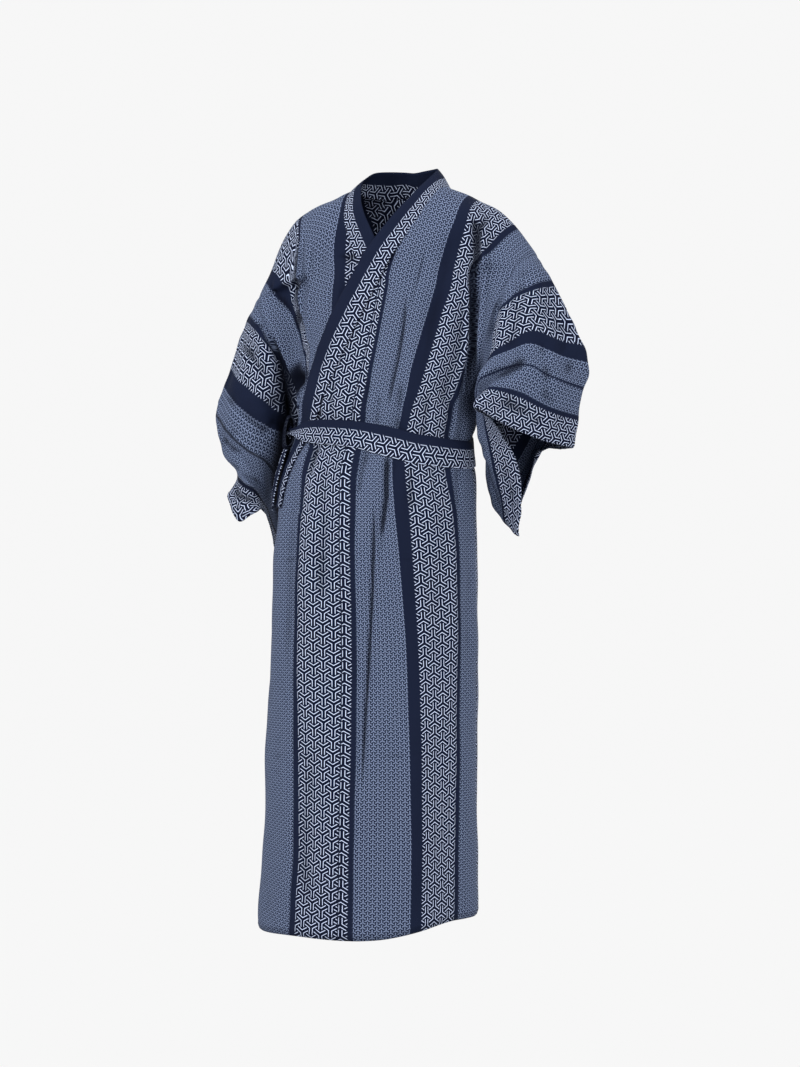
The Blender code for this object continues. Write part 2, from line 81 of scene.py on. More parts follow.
# Seam between body panel and front overlap, left side (mirrored for the right)
# columns: z, angle
SEAM = (
    (-1.375, 1.8),
    (-1.040, 2.0),
    (-0.757, 0.5),
    (-0.596, -1.9),
    (-0.508, -4.3),
    (-0.424, -3.1),
    (-0.300, 1.5),
    (-0.148, 6.5),
)

# Collar, a row per station: inner edge and outer (sewn) edge.  Above the
# chest both are points; below they are an angle and a height on the form.
# columns: inner_x, inner_y, inner_z, outer_x, outer_y, outer_z
NECK = (
    (0.000, 0.074, 0.043, 0.000, 0.101, -0.006),
    (0.040, 0.064, 0.046, 0.058, 0.090, -0.002),
    (0.064, 0.030, 0.040, 0.086, 0.042, -0.001),
    (0.068, -0.010, 0.022, 0.091, -0.006, 0.000),
    (0.057, -0.052, -0.008, 0.086, -0.052, -0.022),
    (0.033, -0.092, -0.052, 0.072, -0.086, -0.060),
)
# columns: inner_angle, inner_z, outer_angle, outer_z
FRONT = (
    (0.0, -0.101, 16.5, -0.103),
    (-8.5, -0.150, 8.5, -0.150),
    (-17.2, -0.201, 0.7, -0.204),
    (-29.1, -0.276, -9.3, -0.279),
    (-38.0, -0.342, -18.0, -0.345),
    (-50.0, -0.408, -27.0, -0.408),
    (-58.5, -0.460, -38.0, -0.460),
    (-65.0, -0.520, -47.0, -0.520),
    (-69.0, -0.590, -52.0, -0.590),
)

# Armholes, a row per height, with their front edge and back edge
# columns: z, valley_angle, front_x, front_y, back_x, back_y, edge_z
HOLE_LEFT = (
    (-0.385, 70.0, 0.162, -0.024, 0.162, 0.022, -0.385),
    (-0.330, 70.0, 0.177, -0.043, 0.181, 0.056, -0.332),
    (-0.270, 69.0, 0.192, -0.060, 0.202, 0.082, -0.277),
    (-0.215, 66.0, 0.212, -0.068, 0.222, 0.092, -0.228),
    (-0.165, 62.0, 0.235, -0.054, 0.239, 0.088, -0.180),
)
HOLE_RIGHT = (
    (-0.385, 71.0, -0.197, -0.024, -0.197, 0.022, -0.387),
    (-0.330, 72.0, -0.207, -0.041, -0.209, 0.054, -0.338),
    (-0.270, 72.0, -0.224, -0.054, -0.228, 0.078, -0.290),
    (-0.215, 70.0, -0.246, -0.056, -0.250, 0.086, -0.248),
    (-0.165, 66.0, -0.269, -0.042, -0.272, 0.076, -0.213),
)

# Over the shoulder, mm, a row per station from front to back: four points
# columns: neck, inner, outer, armhole
TOP_LEFT = (
    ((42, -112.5, -122), (98, -96.5, -128), (160, -62, -139), (243, -42, -158)),
    ((68, -91.5, -72), (116, -81, -88), (172, -54, -107), (251, -30, -147)),
    ((87, -52, -22), (135, -50, -45), (185, -36, -73), (259, -10, -136)),
    ((91.8, -6, 0), (150, -2, -26), (210, 3, -64), (262, 12, -131)),
    ((87, 42, -1), (142, 44, -28), (198, 42, -66), (259, 38, -136)),
    ((59, 90.8, -2), (112, 84, -36), (180, 68, -80), (250, 64, -147)),
    ((-2.6, 102, -7), (82, 101, -58), (166, 80, -104), (244, 80, -161)),
)
TOP_RIGHT = (
    ((-42, -97.5, -122), (-100, -90, -128), (-170, -60, -148), (-280, -29, -194)),
    ((-72.2, -86.8, -69.5), (-120, -80, -86), (-186, -52, -114), (-286, -16, -189)),
    ((-87, -52, -22), (-140, -50, -38), (-203, -34, -76), (-292, 0, -186)),
    ((-91.8, -6, 4), (-160, -2, -20), (-219, 3, -52), (-294, 12, -184)),
    ((-87, 42, -1), (-150, 44, -24), (-208, 42, -66), (-292, 28, -186)),
    ((-59, 90.8, -2), (-117, 84, -32), (-192, 70, -88), (-287, 44, -189)),
    ((-3.4, 102, -7), (-87, 101, -58), (-180, 82, -114), (-281, 58, -195)),
)

# Sleeves, mm, a section at a time from armhole to mouth: points round the section,
# outer fold first, then down the front layer to the bottom fold and back up
# columns: fold, front_1, front_2, front_3, front_4, front_5, bottom, back_5, back_4, back_3,
#    back_2, back_1
SLEEVE_LEFT = (
    ((296, 12, -188), (284, -42, -197), (250, -80, -218), (210, -78, -263), (196, -48, -341),
        (178, -4, -430),
     (158, 62, -535), (155, 90, -462), (174, 122, -376), (212, 130, -271), (247, 110, -212), (272, 66,
         -190)),
    ((355, 12, -311), (314, -51, -303), (273, -80, -291), (212, -90, -330), (190, -50, -405),
        (171, 0, -489),
     (160, 64, -572), (166, 112, -528), (192, 152, -461), (230, 168, -375), (272, 142, -335), (322, 80,
         -316)),
    ((355, 10, -376), (314, -57, -360), (262, -95, -338), (197, -101, -361), (175, -64, -434),
        (172, -21, -519),
     (178, 52, -609), (184, 106, -566), (203, 150, -499), (236, 168, -432), (280, 142, -397), (325, 73,
         -381)),
    ((337, 2, -484), (306, -60, -474), (252, -105, -448), (196, -143, -412), (226, -56, -465),
        (245, -24, -529),
     (236, -8, -644), (227, 48, -576), (224, 95, -520), (231, 131, -482), (262, 111, -481), (306, 54,
         -486)),
)
SLEEVE_RIGHT = (
    ((-321, 6, -232), (-284, -50, -252), (-248, -74, -297), (-229, -58, -349), (-231, -6, -413),
        (-257, 43, -497),
     (-272, 89, -600), (-290, 122, -520), (-296, 130, -424), (-300, 122, -335), (-312, 98, -268), (-325, 54,
         -236)),
    ((-376, -18, -405), (-331, -54, -442), (-285, -61, -477), (-255, -38, -503), (-259, 9, -540),
        (-272, 64, -606),
     (-284, 112, -676), (-306, 138, -606), (-327, 133, -530), (-356, 119, -462), (-378, 82, -420), (-387,
         35, -404)),
    ((-360, -28, -488), (-320, -60, -507), (-279, -64, -524), (-255, -38, -545), (-263, 8, -580),
        (-274, 60, -636),
     (-285, 110, -696), (-308, 130, -628), (-328, 127, -560), (-349, 107, -513), (-366, 67, -492), (-370,
         16, -486)),
    ((-320, -38, -525), (-297, -66, -537), (-267, -75, -558), (-256, -44, -580), (-265, -2, -612),
        (-276, 52, -660),
     (-286, 104, -714), (-302, 117, -650), (-317, 110, -590), (-328, 83, -551), (-334, 43, -532), (-333, 0,
         -524)),
    ((-329, -63, -567), (-291, -91, -615), (-253, -96, -598), (-250, -58, -592), (-260, -14, -626),
        (-271, 36, -672),
     (-284, 94, -724), (-296, 97, -664), (-309, 80, -612), (-321, 48, -586), (-333, 11, -572), (-340, -30,
         -565)),
)

# Belt, a row per angle round the form: middle height, width, distance out
# columns: angle, z, width, out
BELT = (
    (-180.0, -0.452, 0.050, 0.0040),
    (-120.0, -0.444, 0.050, 0.0040),
    (-85.0, -0.447, 0.048, 0.0060),
    (-62.0, -0.450, 0.040, 0.0157),
    (-40.0, -0.451, 0.044, 0.0085),
    (-25.0, -0.4525, 0.044, 0.0070),
    (0.0, -0.459, 0.047, 0.0042),
    (20.0, -0.472, 0.052, 0.0040),
    (45.0, -0.488, 0.052, 0.0040),
    (90.0, -0.494, 0.050, 0.0040),
    (135.0, -0.474, 0.050, 0.0040),
    (180.0, -0.452, 0.050, 0.0040),
)
KNOT_ANGLE = -62.0
KNOT_Z = -0.450
KNOT_HIGH = 0.029    # half height of the wrap
KNOT_DEEP = 0.0078   # half depth of the wrap
KNOT_WIDE = 0.030

# Belt tails, a row per station from the knot down
# columns: angle, z, out, half_width, lean
TAIL_LONG = (
    (-58.5, -0.4816, 0.0155, 0.010, 0.00),
    (-60.0, -0.500, 0.0160, 0.018, 0.16),
    (-64.5, -0.545, 0.0150, 0.023, 0.24),
    (-66.5, -0.590, 0.0140, 0.023, 0.22),
)
TAIL_SHORT = (
    (-65.5, -0.4825, 0.0108, 0.006, 0.00),
    (-72.0, -0.508, 0.0108, 0.015, -0.10),
    (-77.0, -0.545, 0.0110, 0.022, -0.06),
    (-79.0, -0.578, 0.0110, 0.022, 0.00),
)

# Hem, rise above the lowest point by angle round the form
# columns: angle, rise
HEM = (
    (-180.0, 0.006),
    (-70.0, 0.002),
    (-25.0, 0.010),
    (6.0, 0.011),
    (24.0, 0.015),
    (39.0, 0.024),
    (56.0, 0.037),
    (70.0, 0.043),
    (118.0, 0.036),
    (180.0, 0.006),
)


def smooth(rows, at):
    """Cubic through rows of numbers; the first column is the position."""
    rows = sorted(rows)
    keys = [row[0] for row in rows]
    at = min(max(at, keys[0]), keys[-1])
    last = len(rows) - 2
    index = min(last, max(0, sum(1 for key in keys if key <= at) - 1))
    span = keys[index + 1] - keys[index]
    part = (at - keys[index]) / span
    found = []
    for column in range(1, len(rows[0])):
        slopes = []
        for here in (index, index + 1):
            before = max(0, here - 1)
            after = min(len(rows) - 1, here + 1)
            rise = rows[after][column] - rows[before][column]
            slopes.append(rise / (keys[after] - keys[before]) * span)
        start = rows[index][column]
        end = rows[index + 1][column]
        value = (2 * part ** 3 - 3 * part ** 2 + 1) * start
        value += (part ** 3 - 2 * part ** 2 + part) * slopes[0]
        value += (3 * part ** 2 - 2 * part ** 3) * end
        value += (part ** 3 - part ** 2) * slopes[1]
        found.append(value)
    return found


def lengths_along(points, least=0.0, power=1.0):
    """Distance along a line of points, at each of them."""
    found = [0.0]
    for first, second in zip(points, points[1:]):
        found.append(found[-1] + max(least, float(np.linalg.norm(second - first))) ** power)
    return found


def through(points, shares):
    """Points on a smooth curve through the given points, at shares of its length."""
    points = np.array(points, dtype=float)
    keys = lengths_along(points, 1e-6, 0.7)
    rows = [(key, *point) for key, point in zip(keys, points)]
    dense = np.array([smooth(rows, keys[-1] * k / SAMPLES) for k in range(SAMPLES + 1)])
    steps = lengths_along(dense)
    targets = np.array(shares) * steps[-1]
    return np.array([[np.interp(t, steps, dense[:, axis]) for axis in range(3)] for t in targets])


def form(angle, z, out=0.0):
    """Point on the worn form; angle 0 is the front, +90 the wearer's left."""
    half_width, half_depth, centre_x, centre_y = smooth(FORM, z)
    turn = math.radians(angle)
    if z < -1.0:
        around = (angle + 180.0) % 360.0 - 180.0
        z += smooth(HEM, around)[0] * ((z + 1.0) / 0.375) ** 2
    x = centre_x + (half_width + out) * math.sin(turn)
    y = centre_y - (half_depth + out) * math.cos(turn)
    return np.array((x, y, z))


def between(key_rows, extra):
    """Key rows with extra rows added on a smooth curve down each column."""
    key_rows = np.array(key_rows)
    keys = lengths_along(key_rows[:, key_rows.shape[1] // 2], 1e-4)
    stations = []
    for start, end in zip(keys, keys[1:]):
        stations += [start + (end - start) * k / (extra + 1) for k in range(extra + 1)]
    stations.append(keys[-1])
    columns = []
    for column in range(key_rows.shape[1]):
        rows = [(key, *point) for key, point in zip(keys, key_rows[:, column])]
        columns.append([smooth(rows, station) for station in stations])
    return np.array(columns).transpose(1, 0, 2)


def mirrored(side, angle):
    """An angle of the left side, or the same one on the right."""
    return angle if side > 0 else -angle


def front_out(side):
    """The left front lies on the form, the right front just inside it."""
    return 0.0 if side > 0 else -LAYER


def seam_angle(side, z):
    """Where the overlap is sewn to the body panel."""
    return mirrored(side, smooth(SEAM, z)[0])


def row_across(side, z, start, columns, back):
    """A row of a body panel from its inner edge to its side or armhole edge."""
    out = 0.0 if back or side > 0 else -LAYER
    holes = HOLE_LEFT if side > 0 else HOLE_RIGHT
    edge = mirrored(side, SIDE + (SIDE_HALF if back else -SIDE_HALF))
    if z <= HOLE_LOW:
        fade = [out * (1 - (k / (columns - 1)) ** 3) for k in range(columns)]
        angles = np.linspace(start, edge, columns)
        return [form(angle, z, lift) for angle, lift in zip(angles, fade)]
    valley, front_x, front_y, back_x, back_y, edge_z = smooth(holes, z)
    valley = mirrored(side, 192 - valley if back else valley)
    edge = np.array((back_x, back_y, edge_z) if back else (front_x, front_y, edge_z))
    on_form = columns - 3
    angles = np.linspace(start, valley, on_form)
    points = [form(angle, z, out * (1 - (k / columns) ** 3)) for k, angle in enumerate(angles)]
    reach = np.linalg.norm(edge - points[-1])
    onward = points[-1] - points[-2]
    control = points[-1] + onward / np.linalg.norm(onward) * reach * 0.45
    start = points[-1]
    for part in (1 / 3, 2 / 3, 1.0):
        points.append(start * (1 - part) ** 2 + control * 2 * part * (1 - part) + edge * part ** 2)
    return points


def body_panel(side, columns):
    """Front hem, over the shoulder, back hem, in one length of cloth."""
    front = []
    back = []
    for z in BODY_HEIGHTS:
        start = seam_angle(side, z) + side * SEAM_HALF
        front.append(row_across(side, z, start, columns, False))
        back.append(row_across(side, z, side * CENTRE_ANGLE, columns, True))
    even = np.linspace(0.0, 1.0, columns)
    stations = np.array(TOP_LEFT if side > 0 else TOP_RIGHT) / 1000
    top = [through(station, even) for station in stations]
    ends = [front[-2], front[-1]] + top + [back[-1], back[-2]]
    over = between(ends, 1)[4:-4]
    return np.array(front + list(over) + back[::-1])


def overlap(side, columns):
    """Front overlap panel from the seam to the collar or the free edge."""
    edges = [(row[3], row[2], row[0]) for row in FRONT]
    out = front_out(side)
    rows = []
    for z in OVERLAP_HEIGHTS:
        start = seam_angle(side, z) - side * SEAM_HALF
        if z < EDGE_TOP:
            end = EDGE_ANGLE
        else:
            outer, inner = smooth(edges, z)
            under = min(0.35 * (outer - inner), 2.2) if z > -0.4 else 0.8 * (outer - inner)
            end = outer - under
        angles = np.linspace(start, mirrored(side, end), columns)
        flare = smooth(FLARE, z)[0] if side > 0 else 0.0
        lifts = [out + flare * (k / (columns - 1)) ** 4 for k in range(columns)]
        rows.append([form(angle, z, lift) for angle, lift in zip(angles, lifts)])
    return np.array(rows)


def neckline(side):
    """Inner and outer collar edges round the neck, densely."""
    rows = []
    for row in NECK:
        rows.append([side * row[0], row[1], row[2], side * row[3], row[4], row[5]])
    out = front_out(side) + LAP + BAND
    first = FRONT[0]
    inner = form(mirrored(side, first[0]), first[1], out)
    outer = form(mirrored(side, first[2]), first[3], out)
    rows.append([*inner, *outer])
    keyed = [(k, *row) for k, row in enumerate(rows)]
    last = len(rows) - 1
    return np.array([smooth(keyed, last * k / 120) for k in range(121)])


def collar(panels):
    """Collar rows, right front end, round the neck, left front end."""
    halves = {}
    for side in (1, -1):
        edge = panels[side][NECK_FIRST:NECK_LAST, 0]
        dense = neckline(side)
        half = []
        for point in edge[::-1]:
            nearest = int(np.argmin(np.linalg.norm(dense[:, 3:] - point, axis=1)))
            inner = dense[nearest, :3]
            toward = inner - point
            outer = point + toward / np.linalg.norm(toward) * 2.5 * GAP
            half.append([inner, (inner + outer) / 2, outer])
        out = front_out(side) + LAP + BAND
        for row in between([[row] for row in FRONT], 1)[1:, 0]:
            inner_angle, inner_z, outer_angle, outer_z = row
            line = []
            for part in (0.0, 0.5, 1.0):
                angle = inner_angle + (outer_angle - inner_angle) * part
                z = inner_z + (outer_z - inner_z) * part
                line.append(form(mirrored(side, angle), z, out))
            half.append(line)
        halves[side] = half
    return np.array(halves[-1][::-1] + halves[1][1:])


def armhole(panel):
    """Rows of a panel where the sleeve is sewn on: front half, back half."""
    edge = [k for k in range(len(panel)) if panel[k, -1][2] > -0.404]
    top = max(edge, key=lambda k: panel[k, -1][2])
    front = list(range(top, edge[0] - 1, -1))
    back = list(range(edge[-1], top, -1))
    return front, back


def shares_of(points):
    """How far along its length each point of a line lies, 0 to 1."""
    steps = lengths_along(points)
    return [step / steps[-1] for step in steps]


def sleeve(side, panel):
    """Sleeve rows from the armhole to the mouth, columns down the front and up the back."""
    front_rows, back_rows = armhole(panel)
    away = np.array((side * 3.0 * GAP, 0.0, 0.0))
    front = [panel[k, -1] + away for k in front_rows] + [form(side * SIDE, -0.404) + away]
    back = [panel[k, -1] + away for k in back_rows]
    rows = [front + back]
    front_shares = np.array(shares_of(front))
    back_shares = np.array(shares_of([front[-1]] + back + [front[0]]))
    sections = np.array(SLEEVE_LEFT if side > 0 else SLEEVE_RIGHT) / 1000
    for number, section in enumerate(sections):
        even = (number + 1) / len(sections)
        down_shares = np.linspace(0.0, 1.0, len(front)) * even + front_shares * (1 - even)
        up_shares = np.linspace(0.0, 1.0, len(back) + 2) * even + back_shares * (1 - even)
        down = through(section[:7], down_shares)
        up = through(np.concatenate((section[6:], section[:1])), up_shares)[1:-1]
        rows.append(list(down) + list(up))
    return between(rows, 1)


def belt(columns, stations):
    """The band round the waist, lower edge to upper edge."""
    rows = []
    for k in range(stations):
        angle = -180.0 + 360.0 * k / stations
        z, width, out = smooth(BELT, angle)
        rows.append([form(angle, z + width * (j / (columns - 1) - 0.5), out) for j in range(columns)])
    return np.array(rows).transpose(1, 0, 2)


def knot(columns, stations):
    """The wrap that holds the belt, a band round the belt itself."""
    centre_out = smooth(BELT, KNOT_ANGLE)[2] - BAND / 2
    rows = []
    for k in range(columns):
        angle = KNOT_ANGLE + math.degrees(KNOT_WIDE / 0.15) * (k / (columns - 1) - 0.5)
        ends = abs(k / (columns - 1) - 0.5) * 2
        high = KNOT_HIGH * (1 - 0.12 * ends ** 2)
        deep = KNOT_DEEP * (1 - 0.10 * ends ** 2)
        turns = [2 * math.pi * j / stations for j in range(stations)]
        rows.append([form(angle, KNOT_Z + high * math.sin(turn), centre_out + deep * math.cos(turn))
                     for turn in turns])
    return np.array(rows)


def tail(table, columns):
    """A belt tail from the knot down."""
    rows = []
    for angle, z, out, half_width, lean in table:
        row = []
        for k in range(columns):
            across = half_width * (2 * k / (columns - 1) - 1)
            row.append(form(angle + math.degrees(across / 0.17), z + lean * across, out))
        rows.append(row)
    return between(rows, 1)


# ---------------------------------------------------------------- fine grids
def curve_matrix(keys, stations, around=0.0):
    """Weights of the key points at each station of a smooth curve; around closes it."""
    count = len(keys)
    ends = list(keys) + ([keys[0] + around] if around else [])
    matrix = np.zeros((len(stations), count))

    def key(k):
        if around:
            return keys[k % count] + around * (k // count)
        return keys[min(max(k, 0), count - 1)]

    def slot(k):
        return k % count if around else min(max(k, 0), count - 1)

    for row, station in enumerate(stations):
        here = min(int(np.searchsorted(ends, station, side="right")) - 1, len(ends) - 2)
        span = key(here + 1) - key(here)
        part = (station - key(here)) / span
        matrix[row, slot(here)] += 2 * part ** 3 - 3 * part ** 2 + 1
        matrix[row, slot(here + 1)] += 3 * part ** 2 - 2 * part ** 3
        for k, weight in ((here, part ** 3 - 2 * part ** 2 + part), (here + 1, part ** 3 - part ** 2)):
            share = weight * span / (key(k + 1) - key(k - 1))
            matrix[row, slot(k + 1)] += share
            matrix[row, slot(k - 1)] -= share
    return matrix


def gaps(grid, closed=False):
    """Mean distance between one row of a grid and the next."""
    after = np.roll(grid, -1, axis=0) if closed else grid[1:]
    before = grid if closed else grid[:-1]
    return np.linalg.norm(after - before, axis=2).mean(axis=1)


def counts_for(grid, step, closed=False):
    """Fine stations in each gap between rows, no further apart than a step."""
    return [max(1, math.ceil(gap / step)) for gap in gaps(grid, closed)]


def spread(grid, counts, closed=False):
    """Matrix for so many stations in each gap between rows, and where they lie in rows."""
    keys = np.concatenate(((0.0,), np.cumsum(gaps(grid, closed))))
    places = [k + j / count for k, count in enumerate(counts) for j in range(count)]
    if not closed:
        places.append(float(len(counts)))
    stations = np.interp(places, range(len(keys)), keys)
    around = keys[-1] if closed else 0.0
    return curve_matrix(keys[:-1] if closed else keys, stations, around), np.array(places)


def refine(grid, row_counts, column_counts, closed=False):
    """Fine grid on the smooth surface through a coarse one, and the places of its rows and columns."""
    down, rows = spread(grid, row_counts)
    across, columns = spread(grid.transpose(1, 0, 2), column_counts, closed)
    return np.einsum("ri,ijk,cj->rck", down, grid, across), rows, columns


def same_edges(edges, rows):
    """Rows of pairs (grid column, roll place) for stripe edges at the same roll places."""
    return [(row, *zip(columns, edges)) for row, *columns in rows]


def straight(rows):
    """Rows with only the roll place at the first and at the last grid column."""
    return [(row, (0, first), (9, last)) for row, first, last in rows]


# Roll place (mm across the cloth) over each body panel: grid row, then pairs of
# grid column and roll place.  Past the last pair it runs on 1:1.
LEFT_ROLL = (
    *same_edges((50, 74, 169, 194, 279, 289), (
        (0, 0, 0.73, 3.52, 4.06, 6.05, 6.36),
        (1, 0, 0.72, 3.54, 4.1, 6.14, 6.43),
        (2, 0, 0.77, 3.41, 4.03, 6.24, 6.55),
        (3, 0, 0.77, 3.22, 3.83, 6.34, 6.62),
        (4, 0, 0.74, 2.94, 3.63, 6.34, 6.66),
        (5, 0, 0.78, 2.75, 3.5, 6.13, 6.52),
        (6, 0, 0.86, 2.66, 3.34, 5.72, 6.1),
        (7, 0, 0.92, 2.6, 3.24, 5.6, 5.98),
        (8, 0, 0.9, 2.62, 3.19, 5.57, 5.96),
        (9, 0, 0.86, 2.68, 3.17, 5.55, 5.93),
        (10, 0, 0.79, 2.72, 3.18, 5.55, 5.91),
        (11, 0, 0.74, 2.72, 3.26, 5.5, 5.87),
    )),
    (12, (0, 50), (0.66, 74), (2.57, 169), (3.17, 194), (5.29, 279), (5.62, 289), (5.97, 300), (6.15, 315),
        (9, 350)),
    (13, (0, 50), (0.6, 74), (2.54, 169), (3.3, 194), (5.44, 279), (5.75, 289), (5.97, 296), (6.15, 325),
        (9, 350)),
    (14, (0, 50), (0.54, 74), (2.62, 169), (3.42, 194), (5.7, 279), (5.97, 289), (6.15, 327), (9, 350)),
    (15, (0, 50), (0.52, 74), (2.75, 169), (3.6, 194), (5.95, 277), (6.15, 315), (9, 350)),
    (16, (0, 50), (0.52, 74), (2.95, 169), (3.8, 194), (5.95, 264), (6.15, 305), (9, 350)),
    (17, (0, 50), (0.53, 74), (3.15, 169), (4.12, 194), (5.95, 252), (6.15, 297), (9, 350)),
    (18, (0, 50), (0.54, 74), (3.4, 169), (4.45, 194), (5.95, 243), (6.15, 292), (9, 350)),
    (19, (0, 52), (0.52, 74), (3.6, 169), (4.7, 194), (5.92, 236), (6.12, 290), (9, 350)),
    (20, (0, 75), (3.56, 169), (4.62, 194), (5.88, 228), (6.08, 284), (6.33, 289)),
    (21, (0, 83), (3.25, 169), (4.29, 194), (5.6, 226), (5.85, 270), (6.15, 279), (6.58, 289)),
    (22, (0, 91), (2.92, 169), (3.98, 194), (5.1, 220), (5.4, 258), (6.15, 279), (6.67, 289)),
    (23, (0, 104), (2.72, 169), (3.62, 194), (4.6, 222), (4.9, 243), (6.15, 279), (6.67, 289)),
    (24, (0, 116), (2.4, 169), (3.22, 194), (6.12, 279), (6.67, 289)),
    (25, (0, 121), (2.15, 169), (2.92, 194), (6.15, 279), (6.67, 289)),
    (26, (0, 123), (2, 169), (2.78, 194), (6.17, 279), (6.67, 289)),
    *straight((
        (28, 118, 350), (30, 80, 340), (32, 10, 330), (34, 10, 318), (36, 10, 300), (38, 10, 285),
        (40, 10, 270), (42, 10, 255), (44, 10, 250), (46, 10, 255), (48, 10, 260), (50, 10, 268),
        (52, 10, 278),
    )),
)
RIGHT_ROLL = (
    *straight((
        (0, 276, -24), (10, 276, 6),
    )),
    (12, (1.2, 194), (2, 169), (3.95, 100), (3.98, 74), (4, 65), (4.03, 0), (4.08, -20), (4.12, -48)),
    (13, (1.2, 194), (2, 169), (3.95, 100), (3.98, 74), (4, 65), (4.03, 0), (4.12, -20), (4.18, -48)),
    (14, (1.2, 194), (2, 169), (3.8, 102), (3.95, 74), (4, 65), (4.1, 0), (4.6, -20), (4.7, -48)),
    (15, (1.2, 194), (2.05, 169), (4.2, 92), (4.4, 74), (4.5, 65), (4.9, 40), (6.35, -20), (6.45, -48)),
    (16, (1.2, 194), (2.1, 169), (5.4, 84), (6, 74), (6.25, 65), (6.4, 30), (7.1, -20), (7.2, -48)),
    (17, (1.25, 194), (2.2, 169), (4.6, 121), (6.95, 74), (7.05, 65), (7.1, 0), (7.35, -20), (7.55, -48)),
    (18, (1.3, 194), (2.25, 169), (4.7, 121), (7.15, 74), (7.3, 65), (7.34, -8), (7.48, -20), (7.93, -48)),
    (19, (1.42, 194), (2.22, 169), (4.6, 121), (6.75, 74), (6.9, 65), (6.96, 4), (7.65, -20), (8.35, -48)),
    (20, (1, 194), (1.82, 169), (3.7, 121), (5.3, 74), (5.7, 65), (5.76, 8), (6.6, -20), (7.65, -48)),
    (21, (0.33, 194), (1.25, 169), (3.1, 121), (4.65, 74), (5, 65), (5.06, 22), (6.56, -20), (7.68, -48)),
    (22, (-0.1, 194), (0.55, 169), (2.5, 121), (4.25, 74), (4.55, 65), (4.61, 36), (6.7, -20), (7.78, -48)),
    (23, (-0.3, 194), (0.3, 169), (2.2, 121), (3.85, 74), (4.1, 65), (4.16, 48), (6.85, -20), (7.86, -48)),
    (24, (-0.4, 194), (0.25, 169), (1.9, 121), (3.6, 74), (3.8, 65), (3.86, 56), (6.98, -20), (7.93, -48)),
    (26, (-0.4, 194), (0.2, 169), (1.7, 121), (3.3, 74), (3.6, 65), (3.7, 61), (7, -20), (8.1, -48)),
    (28, (0.14, 194), (1, 169), (2.6, 121), (4.2, 74), (4.5, 65), (4.6, 62), (7.4, -20), (8.4, -48)),
    (30, (1.52, 194), (2.25, 169), (3.65, 121), (5.03, 74), (5.29, 65), (5.4, 61), (7.78, -20), (8.6, -48)),
    (32, (2.98, 194), (3.59, 169), (4.77, 121), (5.92, 74), (6.14, 65), (6.24, 61), (8.2, -20), (8.9, -48)),
    *straight((
        (34, 316, -30), (36, 316, 5), (38, 316, 30), (40, 316, 48), (42, 316, 62), (44, 316, 66),
        (46, 316, 60), (50, 316, 50), (52, 316, 40),
    )),
)

# Where the two edges of the overlap's stripe lie, degrees round from the front
# columns: z, edge_279, edge_289
OVERLAP_LINES = (
    (-1.354, -24.7, -29.3),
    (-1.263, -22.3, -26.9),
    (-1.048, -24.4, -28.4),
    (-0.758, -28.5, -31.6),
    (-0.636, -28.6, -31.2),
    (-0.588, -28.9, -31.8),
    (-0.539, -28.4, -32.6),
    (-0.480, -29.4, -33.4),
)

# Where the centres of the stripes lie on the sleeves, in grid rows from the armhole,
# by distance in columns from the bottom seam
# columns: from_bottom, at_armhole, row_284, row_181, row_121, row_69
SLEEVE_ROLL = {
    1: (
        (0.0, 357, 1.03, 4.0, 5.7, 6.75),
        (1.0, 357, 1.15, 4.0, 5.75, 6.8),
        (3.0, 357, 1.37, 4.0, 5.8, 6.8),
        (5.0, 357, 1.65, 4.0, 5.9, 6.85),
        (7.0, 357, 1.90, 3.95, 6.2, 6.95),
        (8.5, 357, 1.95, 4.15, 6.3, 6.95),
        (9.5, 357, 1.98, 4.05, 6.1, 7.0),
        (11.0, 357, 2.0, 3.85, 5.8, 6.93),
        (13.0, 357, 2.0, 4.02, 6.0, 7.0),
        (15.0, 357, 2.0, 4.10, 6.05, 7.0),
    ),
    -1: (
        (0.0, 262, -0.5, 1.6, 3.2, 8.0),
        (3.0, 288, 0.08, 2.05, 3.6, 8.0),
        (4.4, 305, 0.50, 2.50, 3.85, 8.0),
        (5.6, 320, 0.92, 2.85, 4.00, 8.0),
        (6.5, 330, 1.20, 3.08, 4.05, 8.0),
        (7.5, 336, 1.48, 3.20, 4.12, 8.05),
        (8.5, 340, 1.72, 3.27, 4.16, 8.1),
        (10.0, 342, 1.88, 3.32, 4.14, 8.0),
        (15.0, 342, 1.94, 3.37, 4.12, 8.0),
    ),
}

# Hollows that lie in shadow
# columns: row, column, row_reach, column_reach, strength
SHADOWS = {
    "body_panel_left": ((12.6, 7.4, 2.4, 1.1, 0.72),),
    "body_panel_right": ((12.9, 7.2, 0.85, 3.2, 1.0), (16.4, 6.9, 0.9, 0.5, 0.8)),
    "sleeve_left": ((6.6, 6.7, 0.30, 0.9, 0.45), (6.2, 5.8, 0.28, 0.8, 0.45)),
    "sleeve_right": ((3.2, 12.0, 4.3, 2.95, 1.0),),
}
LOOSE_FINE = (430.0, 318.0)     # roll places of the crumpled stretch above the right cuff

